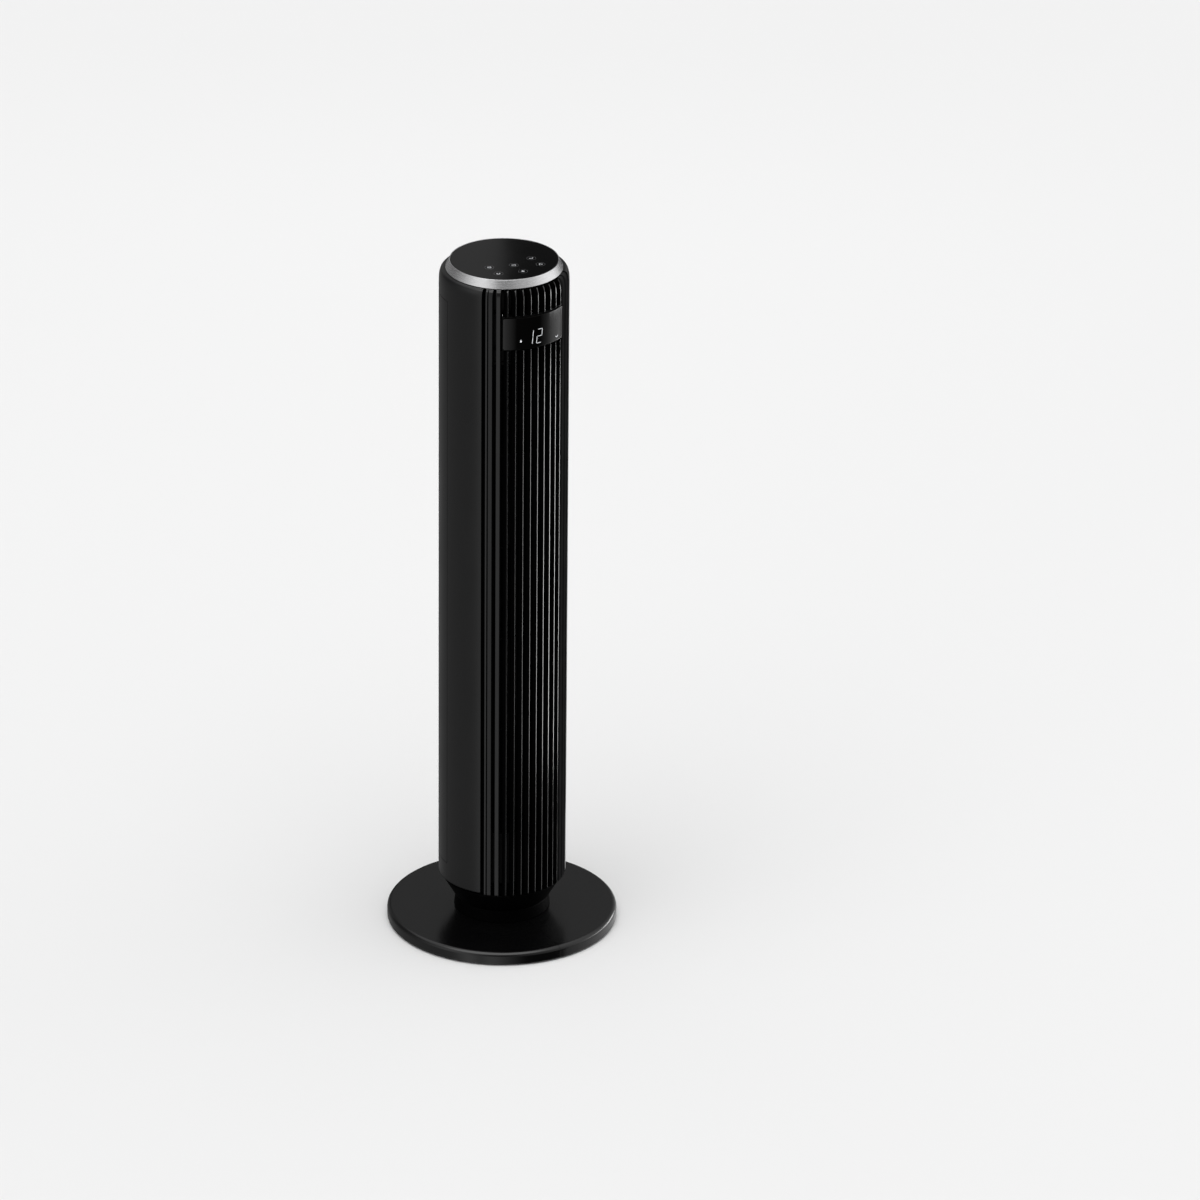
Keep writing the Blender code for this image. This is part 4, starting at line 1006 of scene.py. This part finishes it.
def world():
    """A studio with a dark front, a soft box on each side, and a bright ceiling."""
    made = bpy.data.worlds.new("studio")
    bpy.context.scene.world = made
    made.use_nodes = True
    tree = made.node_tree
    background = tree.nodes["Background"]

    def new(kind, **settings):
        node = tree.nodes.new(kind)
        for name, value in settings.items():
            setattr(node, name, value)
        return node

    def link(start, output, end, socket):
        tree.links.new(start.outputs[output], end.inputs[socket])

    split = new("ShaderNodeSeparateXYZ")
    link(new("ShaderNodeTexCoord"), "Generated", split, "Vector")
    forward = new("ShaderNodeMath", operation="MULTIPLY")
    forward.inputs[1].default_value = -1.0
    link(split, "Y", forward, 0)
    azimuth = new("ShaderNodeMath", operation="ARCTAN2")
    link(split, "X", azimuth, 0)
    link(forward, "Value", azimuth, 1)
    share = new("ShaderNodeMapRange")
    share.inputs["From Min"].default_value = -math.pi
    share.inputs["From Max"].default_value = math.pi
    link(azimuth, "Value", share, "Value")
    rounds = []
    for stops in (LOW_ROUND, BOX_ROUND):
        ramp = ramp_of(tree, stops)
        link(share, "Result", ramp, "Fac")
        rounds.append(ramp)

    def blend(below, above, low_z, high_z):
        """Goes from one colour to another between two heights. A Mix node's colours are 6, 7 and out 2."""
        rise = new("ShaderNodeMapRange", interpolation_type="SMOOTHSTEP")
        rise.inputs["From Min"].default_value = low_z
        rise.inputs["From Max"].default_value = high_z
        link(split, "Z", rise, "Value")
        mixed = new("ShaderNodeMix", data_type="RGBA")
        link(rise, "Result", mixed, 0)
        tree.links.new(below, mixed.inputs[6])
        if isinstance(above, float):
            mixed.inputs[7].default_value = (above, above, above, 1)
        else:
            tree.links.new(above, mixed.inputs[7])
        return mixed.outputs[2]

    walls = blend(rounds[0].outputs["Color"], rounds[1].outputs["Color"], -0.15, 0.15)
    whole = blend(walls, OVERHEAD, 0.62, 0.78)
    tree.links.new(whole, background.inputs["Color"])


KEY_DEG, KEY_RISE_DEG = -45, 72
CARD_DEG, CARD_RISE_DEG = 149.5, 22.6
STRIP_DISTANCE = 2.0
STRIPS = ((55, 66, 2.0), (66, 84, 5.0), (84, 106, 8.5))  # from and to azimuth, and brightness
STRIP_Z = ((-0.71, -0.050), (0.060, 0.45))


def stage_sheet(name, radius, heights, turns, strength):
    """An upright sheet round the fan that only glossy rays see."""
    steps = 8
    places = [turns[0] + (turns[1] - turns[0]) * i / steps for i in range(steps + 1)]
    bm = bmesh.new()
    for bottom, top in heights:
        edges = [[bm.verts.new(at(radius, place, z)) for z in (bottom, top)] for place in places]
        for (a, b), (c, d) in zip(edges, edges[1:]):
            bm.faces.new((a, b, d, c))
    material = glowing(name, (1.0, 1.0, 1.0), strength)
    staged(name, bm, material, ("visible_camera", "visible_diffuse", "visible_shadow"))


def strips():
    """Bright strips on the right that edge the ribs, and a low wall that keeps them off the base's rim."""
    for number, (start, end, strength) in enumerate(STRIPS):
        stage_sheet(f"strip_{number}", STRIP_DISTANCE, STRIP_Z, (start, end), strength)
    stage_sheet("low_wall", 0.30, ((-0.12, 0.024),), (20, 135), 0.2)


def towards(degrees, rise_degrees):
    """The direction to a place, from its azimuth and its height over the horizon."""
    rise = math.radians(rise_degrees)
    return at(math.cos(rise), degrees, math.sin(rise))


def lights():
    """The key, high on the front left, and two cards behind the fan that grey the glass and the base."""
    key = bpy.data.lights.new("key", "SUN")
    key.energy = 1.3
    key.angle = math.radians(60)
    sun = in_scene("key", key)
    sun.rotation_mode = "QUATERNION"
    sun.rotation_quaternion = towards(KEY_DEG, KEY_RISE_DEG).to_track_quat("Z", "Y")
    top = Vector((0, 0, HEIGHT))
    aside = at(1.0, CARD_DEG + 90) * 0.5
    place = top + towards(CARD_DEG, CARD_RISE_DEG) * 1.5 + aside
    panel("card", place, top + aside, 1.0, 0.7, 0.42)
    panel("low_card", at(2.5, CARD_DEG, 1.25), Vector((0, 0, BASE_TOP)), 1.6, 1.0, 0.95)


# The camera: where it stands, seen from the fan, and how far it is turned from looking level at the axis.
CAMERA_AZIMUTH, CAMERA_DISTANCE, CAMERA_HEIGHT = -30.5, 10.324, 5.219
CAMERA_YAW, CAMERA_PITCH, CAMERA_ROLL = 0.687, 24.796, 0.496
LENS_MM, SENSOR_MM = 267.3, 36.0


def camera():
    """The camera of the photo, found from the fan's outline in it."""
    data = bpy.data.cameras.new("camera")
    data.lens, data.sensor_width = LENS_MM, SENSOR_MM
    data.clip_end = 100.0
    obj = in_scene("camera", data)
    yaw, pitch, roll = (math.radians(a) for a in (CAMERA_YAW, CAMERA_PITCH, CAMERA_ROLL))
    forward = Vector((math.sin(yaw) * math.cos(pitch), math.cos(yaw) * math.cos(pitch), -math.sin(pitch)))
    right = Vector((math.cos(yaw), -math.sin(yaw), 0))
    up = right.cross(forward)
    tilted_right = right * math.cos(roll) + up * math.sin(roll)
    tilted_up = up * math.cos(roll) - right * math.sin(roll)
    turn = Matrix((tilted_right, tilted_up, -forward)).transposed().to_4x4()
    around_fan = Matrix.Rotation(math.radians(CAMERA_AZIMUTH), 4, "Z")
    stand = Matrix.Translation((0, -CAMERA_DISTANCE, CAMERA_HEIGHT))
    obj.matrix_world = around_fan @ stand @ turn
    bpy.context.scene.camera = obj


bpy.context.scene.view_settings.view_transform = "Standard"
finish_nodes()
housing()
front_grille()
rear_cover()
trim_ring()
touch_panel()
base()
neck()
bottom_chassis()
display_lens()
digits()
lens_icons()
glass_icons()
impeller()
floor()
world()
strips()
lights()
camera()
